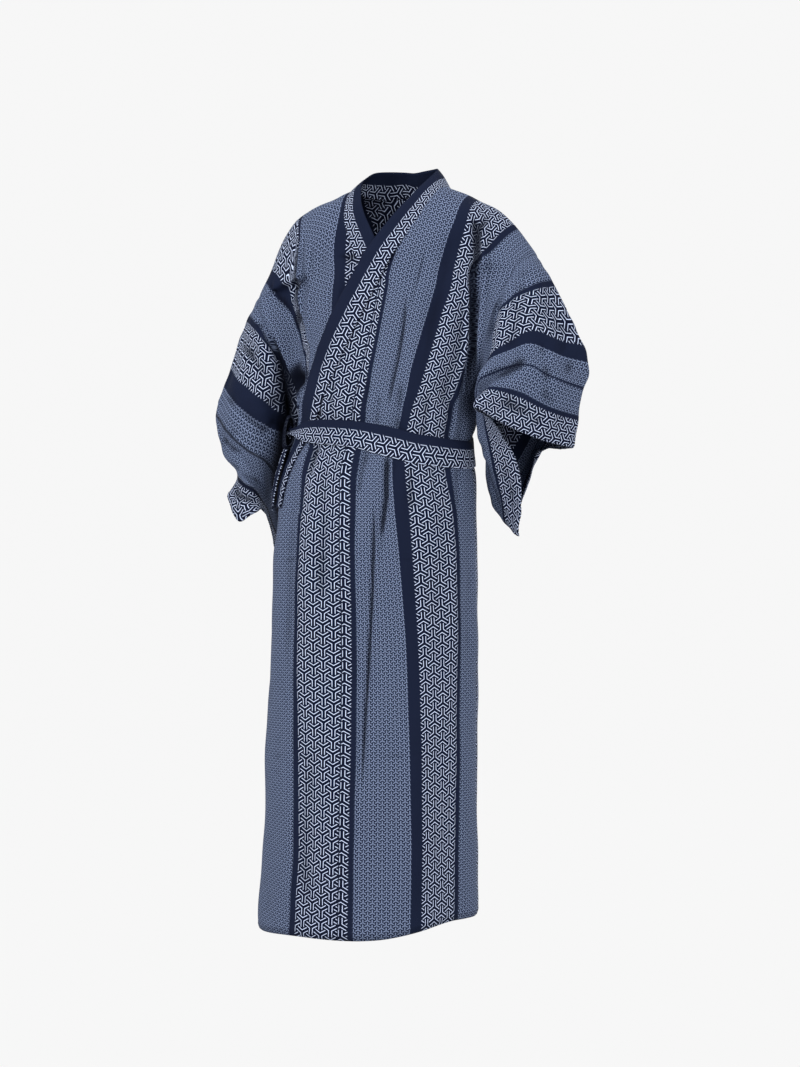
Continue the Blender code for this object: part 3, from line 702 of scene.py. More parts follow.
# Creases on the front; depth, half width and z in mm, points (degrees, z)
# columns: depth, half_width, sharpness, lean, points
FRONT_CREASES = (
    (7, 4.2, 1.3, 0.5, ((21.7, -480), (23, -525), (23.9, -571), (23, -609), (22, -650))),
    (3, 13, 1.7, 0.2, ((21.7, -480), (23, -525), (23.9, -571), (23, -609), (22, -700))),
    (6, 3.2, 1.2, 0.4, ((18.6, -545), (17.4, -600), (17.9, -655), (17.7, -740), (16.6, -835), (15.2, -945),
        (14.2, -1037), (13.2, -1130))),
    (2.2, 14, 1.7, 0.3, ((18.6, -545), (17.4, -600), (17.9, -655), (17.7, -740), (16.6, -835),
        (15.2, -945))),
    (4.4, 3.6, 1.2, 0.4, ((22.5, -190), (21.5, -222), (21.5, -273), (21, -327), (19.8, -372),
        (19.2, -430))),
    (2.6, 13, 1.7, -0.3, ((30, -80), (25.5, -180), (21.5, -273), (21, -327), (19.8, -372), (19.2, -430))),
    (2, 3.4, 1.2, 0.3, ((33.4, -62), (30.8, -120), (27.2, -182), (24, -235), (22.6, -270))),
    (3.2, 16, 1.8, 0.3, ((48.8, -82), (44, -164), (37.5, -273), (34.5, -400))),
    (3.6, 15, 1.8, -0.3, ((64.2, -189), (59.2, -272), (55.2, -362), (53.5, -430))),
    (3.4, 22, 1.8, 0.2, ((77.5, -520), (82.8, -614), (85.8, -722), (79.8, -900))),
    (2.8, 20, 1.8, -0.2, ((64, -505), (62, -614), (57.2, -757), (54.8, -980))),
    (3, 24, 1.8, 0.2, ((-36.8, -500), (-36.8, -613), (-36.2, -759), (-35.5, -970))),
    (2.4, 16, 1.7, 0.2, ((-19, -490), (-11, -614), (-10.8, -800))),
    (2.6, 18, 1.8, -0.2, ((0.2, -495), (5.5, -614), (4, -757), (3.8, -1000))),
    (2.4, 20, 1.8, 0.2, ((34, -880), (31, -1080), (28, -1340))),
    (2.2, 22, 1.8, 0.2, ((-20, -950), (-19, -1140), (-18.8, -1360))),
    (2, 24, 1.8, 0.2, ((58, -950), (60, -1150), (61, -1340))),
    (0.8, 4.5, 1.5, 0, ((-69, -690), (-13, -681), (17.5, -683), (44.5, -685), (100, -680))),
    (0.8, 4.5, 1.5, 0, ((-69, -1048), (-10, -1041), (14, -1036), (45, -1032), (100, -1037))),
    (2.6, 6, 1.4, 0.3, ((-28.3, -372), (-29.5, -452))),
    (3, 6, 1.4, -0.3, ((-17.8, -350), (-18.2, -449))),
    (2.2, 6, 1.4, 0.3, ((-4.5, -380), (-4.2, -455))),
    (2.4, 7, 1.4, 0.3, ((4.2, -345), (6.2, -458))),
    (2.6, 6, 1.4, -0.3, ((13.2, -385), (13.5, -462))),
    (2.6, 7, 1.4, 0.3, ((25.2, -360), (27, -472))),
    (2.6, 7.5, 1.4, 0.3, ((43, -370), (45, -480))),
    (2.4, 7, 1.4, -0.3, ((62, -400), (66, -486))),
    (2.4, 7, 1.4, 0.3, ((-27, -470), (-26, -545))),
    (2.2, 6, 1.4, 0.3, ((-8, -470), (-9.5, -535))),
    (2.6, 7, 1.4, -0.3, ((9, -475), (8, -575))),
    (2.6, 7, 1.4, 0.3, ((36, -495), (39, -600))),
    (2.4, 8, 1.4, 0.3, ((52, -500), (54, -590))),
    (2.4, 8, 1.4, 0.3, ((71, -505), (74, -600))),
    (11, 7.5, 1.1, 0, ((57, -30), (63.5, -60), (66.6, -110), (66.5, -165), (68.5, -240), (70.2, -310),
        (70.5, -380), (74, -430))),
)
RIGHT_CREASES = (
    (3.4, 5.5, 1.2, 0.3, ((-35, -12), (-37, -32), (-39.8, -63), (-41.2, -100))),
    (4.2, 6.5, 1.2, -0.4, ((-50, -75), (-51.5, -108), (-52.8, -186), (-48.2, -262), (-44.2, -340))),
    (2.4, 8, 1.5, 0.3, ((-62, -60), (-61, -131), (-59, -240), (-53, -360))),
    (2, 9, 1.6, 0.3, ((-27.5, -100), (-28.5, -174), (-31, -265))),
)
# Folds at the armholes, points (grid row, grid column) of the panel
PANEL_CREASES = {
    1: (
        (10.0, 7.5, 1.5, 0.2, ((25.0, 4.3), (23.12, 4.5), (21.4, 5.3), (19.92, 6.0), (18.4, 6.1),
            (17.0, 6.12), (15.6, 6.05), (14.5, 6.2), (13.4, 6.45), (12.64, 6.75), (11.8, 7.0))),
    ),
    -1: (
        (6.5, 4.5, 1.2, 0.4, ((24.45, 3.62), (23.0, 4.0), (21.9, 4.6), (20.6, 5.21), (19.61, 6.15),
            (18.85, 7.15), (18.23, 7.25), (16.92, 6.98), (16.46, 6.75), (15.47, 5.14), (14.39, 4.2),
            (13.2, 4.0))),
        (4.0, 6.0, 1.3, 0.3, ((22.6, 7.5), (21.4, 7.55), (19.7, 7.9), (18.3, 8.0), (17.6, 7.7), (16.9, 7.2),
            (16.0, 6.5))),
        (9.0, 11.0, 2.2, 0.0, ((12.9, 4.4), (12.75, 6.5), (12.9, 8.9))),
    ),
}
BACK_CREASES = (
    (3.8, 18, 1.7, 0.3, ((176, -80), (172, -200), (170, -420))),
    (3.4, 16, 1.7, -0.3, ((-170, -120), (-166, -260), (-168, -430))),
    (4.2, 14, 1.5, 0.3, ((138, -160), (142, -300), (150, -440))),
    (4.4, 15, 1.5, -0.3, ((-134, -170), (-140, -310), (-149, -430))),
    (3.2, 12, 1.5, 0.3, ((120, -300), (124, -460))),
    (3.2, 12, 1.5, 0.3, ((-116, -310), (-122, -440))),
    (3, 9, 1.4, 0.3, ((164, -360), (163, -450))),
    (2.6, 8, 1.4, 0.3, ((-178, -350), (-179, -440))),
    (2.8, 9, 1.4, -0.3, ((-157, -360), (-158, -440))),
    (4, 20, 1.7, 0.3, ((152, -490), (150, -720), (147, -1050), (146, -1330))),
    (3.2, 17, 1.7, -0.3, ((172, -480), (168, -700), (169, -980))),
    (4, 22, 1.7, 0.3, ((-160, -480), (-156, -740), (-154, -1100), (-155, -1340))),
    (3, 16, 1.6, -0.3, ((-138, -470), (-136, -660), (-139, -900))),
    (3.4, 18, 1.7, 0.3, ((126, -510), (122, -700), (124, -1000))),
    (3, 18, 1.7, 0.3, ((-112, -490), (-114, -720), (-110, -1050))),
    (2.6, 24, 1.8, 0.3, ((-176, -900), (-178, -1150), (-176, -1360))),
    (0.8, 4.5, 1.5, 0, ((100, -680), (140, -682), (180, -685), (220, -687), (258, -690))),
    (0.8, 4.5, 1.5, 0, ((100, -1037), (140, -1042), (180, -1044), (220, -1046), (258, -1048))),
)
# Creases on the sleeves, points (grid row, column from the top fold)
SLEEVE_CREASES = {
    1: (
        (9.0, 15.0, 1.4, 0.3, ((6.9, 8.6), (6.85, 7.4), (6.75, 6.5), (6.33, 5.7), (6.0, 4.8), (4.9, 4.3))),
        (2.6, 12.0, 1.5, 0.4, ((3.85, 4.2), (5.43, 3.1), (6.5, 2.6), (7.5, 2.3))),
        (4.0, 20.0, 1.7, 0.2, ((1.2, 1.2), (2.6, 1.3), (4.1, 1.7), (6.5, 0.9))),
        (5.0, 18.0, 1.6, -0.2, ((0.6, 3.2), (1.6, 4.2), (2.27, 5.3), (3.46, 6.1), (4.78, 6.5))),
        (3.5, 14.0, 1.6, 0.2, ((7.3, 5.4), (7.42, 3.9), (7.5, 2.0))),
        (7.0, 16.0, 1.5, 0.2, ((0.4, 7.0), (1.6, 8.2), (3.4, 9.0), (5.4, 9.2))),
        (5.0, 12.0, 1.4, 0.2, ((5.2, 10.8), (5.86, 11.7), (6.17, 13.0), (6.7, 14.5))),
        (4.0, 12.0, 1.4, -0.2, ((7.33, 10.9), (7.33, 12.2), (7.5, 14.0))),
        (5.0, 20.0, 1.6, 0.2, ((1.0, 20.0), (3.0, 19.0), (6.0, 18.0))),
        (5.0, 22.0, 1.6, -0.2, ((0.8, 24.0), (3.2, 24.5), (6.4, 25.0))),
        (4.0, 16.0, 1.6, 0.2, ((2.0, 22.0), (4.4, 21.0), (7.2, 20.5))),
        (4.0, 18.0, 1.6, 0.2, ((2.2, 27.5), (4.6, 28.0), (7.4, 27.0))),
    ),
    -1: (
        (6.0, 9.0, 1.2, 0.3, ((0.10, 0.8), (0.17, 2.6), (0.3, 5.0), (0.2, 8.0))),
        (6.0, 10.0, 1.3, -0.3, ((1.7, 5.0), (1.30, 6.6), (1.06, 7.6), (0.58, 9.9), (0.2, 11.6))),
        (4.0, 14.0, 1.5, 0.3, ((2.75, 0.6), (2.59, 2.4), (2.47, 6.5), (2.35, 9.0))),
        (4.0, 14.0, 1.5, 0.3, ((3.66, 0.2), (3.61, 2.4), (3.48, 5.8), (3.48, 9.0))),
        (5.0, 9.0, 1.3, 0.3, ((5.0, 0.6), (5.0, 2.4), (4.88, 5.4), (5.56, 7.5))),
        (6.0, 9.0, 1.2, -0.3, ((6.43, 1.2), (6.5, 3.2), (6.43, 4.5), (6.29, 7.5))),
        (4.0, 9.0, 1.3, 0.3, ((9.2, 0.5), (8.8, 3.4), (9.2, 5.0))),
        (5.0, 14.0, 1.5, 0.3, ((2.2, 11.4), (2.9, 9.6), (3.2, 8.2))),
        (6.0, 16.0, 1.5, 0.3, ((1.4, 13.0), (3.4, 12.6), (5.4, 13.0), (8.4, 13.4))),
        (5.0, 20.0, 1.6, 0.3, ((1.0, 19.0), (3.0, 18.6), (5.6, 18.0), (8.8, 18.4))),
        (5.0, 20.0, 1.6, -0.3, ((0.8, 23.0), (3.2, 22.6), (5.4, 23.0))),
        (4.0, 10.0, 1.4, 0.3, ((5.2, 20.0), (5.4, 23.6), (5.0, 27.0))),
        (4.0, 10.0, 1.4, 0.3, ((7.0, 19.5), (7.2, 23.6), (6.8, 27.6))),
        (4.0, 18.0, 1.6, 0.3, ((2.0, 26.6), (3.4, 27.0), (4.6, 28.0))),
    ),
}


def ramp(values, start, reach):
    """0 up to start and 1 a reach further on, or further down if the reach is negative."""
    return np.clip((values - start) / reach, 0, 1)


def bell(values, width, power=2):
    """1 at 0, falling away to both sides."""
    return np.exp(-(values / width) ** power)


def vertex_normals(points, sign, closed):
    """Unit outward normals over a fine grid."""
    down = np.gradient(points, axis=0)
    if closed:
        across = np.roll(points, -1, axis=1) - np.roll(points, 1, axis=1)
    else:
        across = np.gradient(points, axis=1)
    normals = sign * np.cross(across, down)
    return normals / np.maximum(np.linalg.norm(normals, axis=2, keepdims=True), 1e-12)


def softened(values, passes):
    """Values smoothed along the rows of a grid, its ends kept."""
    values = values.copy()
    for _ in range(passes):
        values[1:-1] += (values[2:] + values[:-2] - 2 * values[1:-1]) / 4
    return values


COLUMN_MM = 30           # width that a column past the edge of a panel stands for


def roll_from_table(points, columns, table, rows, slope, passes=4):
    """Roll place, in metres, over a fine grid from pairs given at some of its coarse rows."""
    at = [row[0] for row in table]
    full = np.zeros(points.shape[:2])

    def drawn(pairs, arc):
        spots = np.array([pair[0] for pair in pairs])
        values = [pair[1] for pair in pairs]
        past = np.minimum(spots, 0), np.maximum(spots - columns[-1], 0)
        places = np.interp(spots, columns, arc) + past[0] * COLUMN_MM + past[1] * COLUMN_MM
        beyond = np.maximum(0.0, arc - places[-1]) - np.maximum(0.0, places[0] - arc)
        return np.interp(arc, places, values) + slope * beyond

    for k, row in enumerate(rows):
        after = int(np.clip(np.searchsorted(at, row, side="right"), 1, len(at) - 1))
        part = float(np.clip((row - at[after - 1]) / (at[after] - at[after - 1]), 0, 1))
        lower, upper = table[after - 1][1:], table[after][1:]
        steps = np.linalg.norm(np.diff(points[k], axis=0), axis=1)
        arc = np.concatenate(((0.0,), np.cumsum(steps))) * 1000
        if len(lower) == len(upper):
            pairs = [[one + (two - one) * part for one, two in zip(*pair)]
                     for pair in zip(lower, upper)]
            full[k] = drawn(pairs, arc)
        else:
            full[k] = drawn(lower, arc) * (1 - part) + drawn(upper, arc) * part
    return softened(full, passes) / 1000


HIDDEN_CLOTH = 1.9       # cloth per length of surface from which a fold hides some
SOLVER_STEPS = 500
SOLVER_END = 1e-12


def along(points, roll, lengthwise, closed=False):
    """Distance along the cloth over a grid, square to the stripes, by least squares."""
    if closed:
        points = np.concatenate((points, points[:, :1]), axis=1)
    down, across = np.gradient(points, axis=0), np.gradient(points, axis=1)
    roll_down, roll_across = np.gradient(roll, axis=0), np.gradient(roll, axis=1)
    dd, dc, cc = (down * down).sum(2), (down * across).sum(2), (across * across).sum(2)
    slope = (cc * roll_down - dc * roll_across)[..., None] * down
    slope += (dd * roll_across - dc * roll_down)[..., None] * across
    slope /= np.maximum(np.linalg.norm(slope, axis=2, keepdims=True), 1e-15)
    normal = np.cross(down, across)
    normal /= np.maximum(np.linalg.norm(normal, axis=2, keepdims=True), 1e-15)
    aim = np.cross(normal, slope)
    main = down if lengthwise == 0 else across
    aim *= np.where((aim * main).sum(2, keepdims=True) < 0, -1.0, 1.0)

    def halfway(values, axis):
        if axis == 0:
            return (values[1:] + values[:-1]) / 2
        return (values[:, 1:] + values[:, :-1]) / 2

    edges = []
    for axis, other in ((0, across), (1, down)):
        step = np.diff(points, axis=axis)
        width = halfway(np.linalg.norm(other, axis=2), axis)
        step_size = np.maximum(np.linalg.norm(step, axis=2), 1e-6)
        weight = np.clip(width / step_size, 0.1, 10.0)
        # cloth hidden in a fold parts the two sides
        weight /= 1 + (np.abs(np.diff(roll, axis=axis)) / step_size / HIDDEN_CLOTH) ** 8
        edges.append(((halfway(aim, axis) * step).sum(2), weight))
    (want_down, weight_down), (want_across, weight_across) = edges

    def gather(flow_down, flow_across):
        total = np.zeros(roll.shape)
        total[1:] += flow_down
        total[:-1] -= flow_down
        total[:, 1:] += flow_across
        total[:, :-1] -= flow_across
        return total

    def apply(values):
        return gather(weight_down * np.diff(values, axis=0), weight_across * np.diff(values, axis=1))

    lengths = np.linalg.norm(np.diff(points, axis=lengthwise), axis=2).mean(axis=1 - lengthwise)
    start = np.concatenate(((0.0,), np.cumsum(lengths)))
    if lengthwise == 0:
        found = np.repeat(start[:, None], roll.shape[1], 1)
    else:
        found = np.repeat(start[None], roll.shape[0], 0)
    diagonal = np.zeros(roll.shape)
    diagonal[1:] += weight_down
    diagonal[:-1] += weight_down
    diagonal[:, 1:] += weight_across
    diagonal[:, :-1] += weight_across
    rest = gather(weight_down * want_down, weight_across * want_across) - apply(found)
    ready = rest / diagonal
    move = ready.copy()
    size = (rest * ready).sum()
    for _ in range(SOLVER_STEPS):
        moved = apply(move)
        scale = size / max((move * moved).sum(), 1e-30)
        found = found + scale * move
        rest = rest - scale * moved
        ready = rest / diagonal
        before, size = size, (rest * ready).sum()
        if size < SOLVER_END:
            break
        move = ready + move * (size / before)
    return found


def waves(points, seed, wavelength, stretch, count=26):
    """Smooth random height over points, about -1 to 1; stretch draws it out upright."""
    random = np.random.default_rng(seed)
    flat = points * np.array((1.0, 1.0, 1.0 / stretch))
    total = np.zeros(points.shape[:-1])
    for _ in range(count):
        way = random.normal(size=3)
        way /= np.linalg.norm(way)
        length = wavelength * random.uniform(0.7, 1.5)
        total += np.sin(flat @ way * (2 * math.pi / length) + random.uniform(0, 2 * math.pi))
    return total / math.sqrt(count / 2)


# Uneven waves under the creases
# columns: height, seed, wavelength, upright stretch
WAVES = {
    "body": ((0.0011, 11, 0.16, 2.5), (0.0005, 12, 0.05, 2.0)),
    "shoulder": ((0.0012, 21, 0.09, 1.0),),
    "sleeve_left": ((0.0022, 32, 0.11, 1.4), (0.0007, 35, 0.04, 1.0)),
    "sleeve_right": ((0.0022, 30, 0.11, 1.4), (0.0007, 33, 0.04, 1.0)),
    "collar": ((0.0005, 41, 0.05, 1.0),),
    "belt": ((0.0006, 51, 0.07, 1.0),),
    "belt_knot": ((0.0004, 61, 0.02, 1.0),),
    "belt_tail": ((0.0004, 71, 0.03, 1.0),),
}


def uneven(name, points):
    """Height of a cloth's uneven waves."""
    return sum(height * waves(points, *wave) for height, *wave in WAVES[name])


BODY_AXIS = np.array((-0.03, 0.0, 0.0))    # middle of the body, seen from above


def crease(points, line, depth, half_width, sharpness, lean):
    """Height of one fold: a valley along a line with a raised shoulder on each side."""
    depth, half_width = depth / 1000, half_width / 1000
    line = np.array(line)
    heights = np.zeros(points.shape[:-1])
    low, high = line.min(axis=0) - 4 * half_width, line.max(axis=0) + 4 * half_width
    near = ((points > low) & (points < high)).all(axis=-1)
    if not near.any():
        return heights
    spots = points[near]
    steps = np.linalg.norm(np.diff(line, axis=0), axis=1)
    total = steps.sum()
    best = np.full(len(spots), 1e9)
    place = np.zeros(len(spots))
    turned = np.zeros(len(spots))
    start = 0.0
    for first, second, step in zip(line, line[1:], steps):
        way = (second - first) / step
        reach = np.clip((spots - first) @ way, 0.0, step)
        gap = spots - (first + reach[:, None] * way)
        distance = np.linalg.norm(gap, axis=1)
        closer = distance < best
        best = np.where(closer, distance, best)
        place = np.where(closer, (start + reach) / total, place)
        out = spots - BODY_AXIS
        out[:, 2] = 0.0
        turned = np.where(closer, np.sign((np.cross(way, gap) * out).sum(axis=1)), turned)
        start += step
    share = best / half_width
    ends = np.clip(np.minimum(place, 1 - place) / 0.22, 0.0, 1.0)
    ends = ends * ends * (3 - 2 * ends)
    fold = -np.exp(-share ** sharpness) + (0.42 + 0.3 * lean * turned) * bell(share - 1.9, 0.9)
    heights[near] = depth * ends * fold
    return heights


def dense_line(points, place, spacing=0.02):
    """A crease's points in space, close together, from its places."""
    points = np.array(points, dtype=float)
    spots = []
    for first, second in zip(points, points[1:]):
        ends = np.array([place(*first), place(*second)])
        count = max(1, int(np.linalg.norm(ends[1] - ends[0]) / spacing))
        spots += [place(*(first + (second - first) * k / count)) for k in range(count)]
    spots.append(place(*points[-1]))
    return spots


def around_form(points):
    """Angle round the worn form, in degrees, of every point."""
    heights = [row[0] for row in FORM]
    column = [np.interp(points[..., 2], heights, [row[k] for row in FORM]) for k in range(1, 5)]
    half_width, half_depth, centre_x, centre_y = column
    left = (points[..., 0] - centre_x) / half_width
    forward = -(points[..., 1] - centre_y) / half_depth
    return np.degrees(np.arctan2(left, forward))


BODY_LINES = [(*shape, dense_line([(angle, z / 1000) for angle, z in line], form))
              for *shape, line in FRONT_CREASES + RIGHT_CREASES + BACK_CREASES]


GATHERS_ABOVE = 0.060    # how far the belt's small gathers reach
GATHERS_BELOW = 0.075
DEEPEST = 0.0115         # limits of all that stands in or out from the form
HIGHEST = 0.006


def body_field(points):
    """How far the cloth of the body stands out from the plain form, in metres."""
    heights = uneven("body", points)
    for *shape, line in BODY_LINES:
        heights += crease(points, line, *shape)
    angles = around_form(points)
    belt_z = np.interp(angles, [row[0] for row in BELT], [row[1] for row in BELT])
    above = points[..., 2] - belt_z
    arc = angles / 17.0
    gathers = np.zeros(angles.shape)
    random = np.random.default_rng(5)
    for _ in range(14):
        gathers += np.sin(arc * random.uniform(2.2, 9.0) + random.uniform(0, 6.28))
    reach = np.where(above > 0, GATHERS_ABOVE, GATHERS_BELOW)
    strength = np.exp(-np.maximum(np.abs(above) - 0.028, 0) / reach)
    heights += 0.0006 * gathers * strength
    # the cloth blouses over the belt, which presses it flat
    heights += 0.0035 * bell(above - 0.052, 0.022)
    pressed = 1 - bell(np.abs(above), 0.030, 4)
    return np.clip(heights * pressed, -DEEPEST, HIGHEST)


def edge_distances(points):
    """Distance over the cloth from a grid's first and last row and column."""
    downs = np.linalg.norm(np.diff(points, axis=0), axis=2)
    acrosses = np.linalg.norm(np.diff(points, axis=1), axis=2)
    rows, columns = points.shape[:2]
    from_top = np.concatenate((np.zeros((1, columns)), np.cumsum(downs, axis=0)))
    from_left = np.concatenate((np.zeros((rows, 1)), np.cumsum(acrosses, axis=1)), axis=1)
    return {
        "first_row": from_top,
        "last_row": from_top[-1:] - from_top,
        "first_column": from_left,
        "last_column": from_left[:, -1:] - from_left,
    }


def seam_dip(distance, depth=0.0012, reach=0.004):
    """The narrow groove of a sewn seam."""
    return -depth * bell(distance, reach)


def hem_turn(distance, depth=0.0032, reach=0.012):
    """The last centimetre of a hem curls in, with the stitched fold above it."""
    turn = np.clip(1 - distance / reach, 0, 1)
    groove = bell(distance - reach * 1.35, 0.003)
    return -depth * turn ** 2 - 0.0005 * groove


def meet(points, edge, line, reach=0.015):
    """Moves an edge, given as (rows, column), onto a line by height, fading inwards."""
    rows, column = edge
    line = np.array(sorted(line.tolist(), key=lambda point: point[2]))
    spots = points[rows, column]
    target = spots.copy()
    for axis in (0, 1):
        target[:, axis] = np.interp(spots[:, 2], line[:, 2], line[:, axis])
    shift = target - spots
    distance = edge_distances(points)["first_column" if column == 0 else "last_column"]
    for k, row in enumerate(rows):
        fade = np.clip(1 - distance[row] / reach, 0, 1) ** 2
        points[row] += fade[:, None] * shift[k]


def painted_fold_shade(heights, closed=False):
    """Painted shade, 0 to 1: the deeper in a fold a point lies, the darker its colour."""
    mean = heights.copy()
    for _ in range(12):
        mean[1:-1] += (mean[2:] + mean[:-2] - 2 * mean[1:-1]) / 4
        if closed:
            mean += (np.roll(mean, 1, axis=1) + np.roll(mean, -1, axis=1) - 2 * mean) / 4
        else:
            mean[:, 1:-1] += (mean[:, 2:] + mean[:, :-2] - 2 * mean[:, 1:-1]) / 4
    return 0.80 * ramp(mean - heights, 0.0005, 0.0024)


def painted_hem_shade(distance):
    """Painted shade: a band a little darker along a hem, where its edge rolls under."""
    return 0.26 * ramp(distance, 0.0115, -0.002)


def shadows(name, rows, columns):
    """Painted shadow in the hollows of a piece, 0 to 1, over its fine grid."""
    painted_shade = np.zeros((len(rows), len(columns)))
    for row, column, row_reach, column_reach, strength in SHADOWS[name]:
        away = ((rows[:, None] - row) / row_reach) ** 2
        away = away + ((columns[None] - column) / column_reach) ** 2
        painted_shade = np.maximum(painted_shade, strength * np.exp(-away ** 4))
    return painted_shade


# ---------------------------------------------------------------- the cloth
NAVY = (0.0065, 0.0098, 0.0245)
WHITE = (0.605, 0.692, 0.920)
GREY = (0.194, 0.243, 0.375)
BETWEEN_LINES = (0.0005, 0.0015, 0.0100)    # ground among the large pattern's lines
PAINTED_SHADE_AND_LINE_COLOUR = (0.0030, 0.0043, 0.0105)             # painted shade at the bottom of folds, in hollows and along hems; also the right sleeve's two thin navy lines
WARP = 0.0008            # one thread to the next across the roll, metres
WEFT = 0.0009            # and along it
ROLL_LOW = -0.100        # roll places that the stripes are drawn between, metres
ROLL_HIGH = 0.400
EDGE = 0.0006            # softness of a stripe's edge
# Bands across the roll: where each ends (mm), its share of large and of fine pattern
BODY_BANDS = (
    (-48, 0, 1),
    (-20, 0, 0),
    (65, 1, 0),
    (74, 0, 0),
    (169, 0, 1),
    (194, 0, 0),
    (279, 1, 0),
    (289, 0, 0),
    (None, 0, 1),
)
SLEEVE_BANDS = (*BODY_BANDS[:4], (119, 0, 1), (124, 0, 0), *BODY_BANDS[4:])
# Pattern sizes: period (m); half the gap between a pair of lines, half a line's
# width and its softness (periods); shift across the roll (m)
LARGE_MOTIF = (0.022, 0.138, 0.026, 0.012, 0.0035)
FINE_MOTIF = (0.0088, 0.060, 0.047, 0.018, 0.001)
MOTIF_COLUMN = math.sqrt(3) / 2     # one column of lines to the next, in periods
MOTIF_RISE = 0.325                  # middle of a line above the column's start
MOTIF_REACH = 0.245                 # half the length of a line


class Maths:
    """Short way to write Math nodes."""

    def __init__(self, tree):
        self.tree = tree

    def __call__(self, operation, *values):
        node = self.tree.nodes.new("ShaderNodeMath")
        node.operation = operation
        for slot, value in enumerate(values):
            if isinstance(value, (int, float)):
                node.inputs[slot].default_value = value
            else:
                self.tree.links.new(value, node.inputs[slot])
        return node.outputs[0]


def add_node(tree, kind, vector=None, **values):
    """A new node with its inputs set, and its vector input linked if one is given."""
    node = tree.nodes.new(kind)
    if vector is not None:
        tree.links.new(vector, node.inputs["Vector"])
    for name, value in values.items():
        node.inputs[name].default_value = value
    return node


def mixed(tree, factor, first, second):
    """Colour between two, each a tuple or the output of a node."""
    node = tree.nodes.new("ShaderNodeMix")
    node.data_type = "RGBA"
    tree.links.new(factor, node.inputs["Factor"])
    for slot, value in ((6, first), (7, second)):
        if isinstance(value, tuple):
            node.inputs[slot].default_value = (*value, 1.0)
        else:
            tree.links.new(value, node.inputs[slot])
    return node.outputs[2]


def brighter(colour, factor):
    """A colour made brighter, or darker with a factor under 1."""
    return tuple(value * factor for value in colour)


def motif_group():
    """Distance, in periods, to the nearest line of the interlocking Y pattern."""
    tree = bpy.data.node_groups.new("interlocking_y", "ShaderNodeTree")
    for name in ("X", "Y", "Apart"):
        tree.interface.new_socket(name, in_out="INPUT", socket_type="NodeSocketFloat")
    tree.interface.new_socket("Distance", in_out="OUTPUT", socket_type="NodeSocketFloat")
    over, up, apart = tree.nodes.new("NodeGroupInput").outputs[:3]
    result = tree.nodes.new("NodeGroupOutput")
    maths = Maths(tree)
    nearest = None
    for turn in (0, 120, 240):
        cos, sin = math.cos(math.radians(turn)), math.sin(math.radians(turn))
        x = maths("ADD", maths("MULTIPLY", over, cos), maths("MULTIPLY", up, sin))
        y = maths("SUBTRACT", maths("MULTIPLY", up, cos), maths("MULTIPLY", over, sin))
        column = maths("ROUND", maths("DIVIDE", x, MOTIF_COLUMN))
        off = maths("ABSOLUTE", maths("SUBTRACT", x, maths("MULTIPLY", column, MOTIF_COLUMN)))
        off = maths("SUBTRACT", off, apart)
        odd = maths("FLOORED_MODULO", column, 2.0)
        high = maths("SUBTRACT", maths("ADD", y, MOTIF_RISE), maths("MULTIPLY", odd, 0.5))
        high = maths("ABSOLUTE", maths("WRAP", high, 0.5, -0.5))
        high = maths("MAXIMUM", maths("SUBTRACT", high, MOTIF_REACH), 0.0)
        square = maths("ADD", maths("MULTIPLY", off, off), maths("MULTIPLY", high, high))
        nearest = square if nearest is None else maths("MINIMUM", nearest, square)
    tree.links.new(maths("SQRT", nearest), result.inputs[0])
    return tree


MOTIF = motif_group()


def pattern(tree, roll, length, period, apart, half_line, soft, shift):
    """Lines of the interlocking Y pattern at one size, 0 to 1."""
    maths = Maths(tree)
    group = tree.nodes.new("ShaderNodeGroup")
    group.node_tree = MOTIF
    tree.links.new(maths("DIVIDE", maths("ADD", roll, shift), period), group.inputs[0])
    tree.links.new(maths("DIVIDE", length, period), group.inputs[1])
    group.inputs[2].default_value = apart
    inside = maths("SUBTRACT", half_line + soft, group.outputs[0])
    inside = maths("DIVIDE", inside, 2 * soft)
    return maths("MINIMUM", maths("MAXIMUM", inside, 0.0), 1.0)


def stripe_masks(tree, roll, bands):
    """Shares of the large and of the fine pattern at a roll place."""
    maths = Maths(tree)
    span = ROLL_HIGH - ROLL_LOW
    soft = EDGE / span / 2
    stops = [(0.0, bands[0])]
    for band, after in zip(bands, bands[1:]):
        where = (band[0] / 1000 - ROLL_LOW) / span
        stops += [(where - soft, band), (where + soft, after)]
    ramp_node = tree.nodes.new("ShaderNodeValToRGB")
    elements = ramp_node.color_ramp.elements
    elements.remove(elements[1])
    for number, (where, (_, large, fine)) in enumerate(stops):
        stop = elements.new(where) if number else elements[0]
        stop.color = (large, fine, 0, 1)
    share = maths("DIVIDE", maths("SUBTRACT", roll, ROLL_LOW), span)
    tree.links.new(share, ramp_node.inputs[0])
    masks = tree.nodes.new("ShaderNodeSeparateColor")
    tree.links.new(ramp_node.outputs[0], masks.inputs[0])
    return masks.outputs[0], masks.outputs[1]


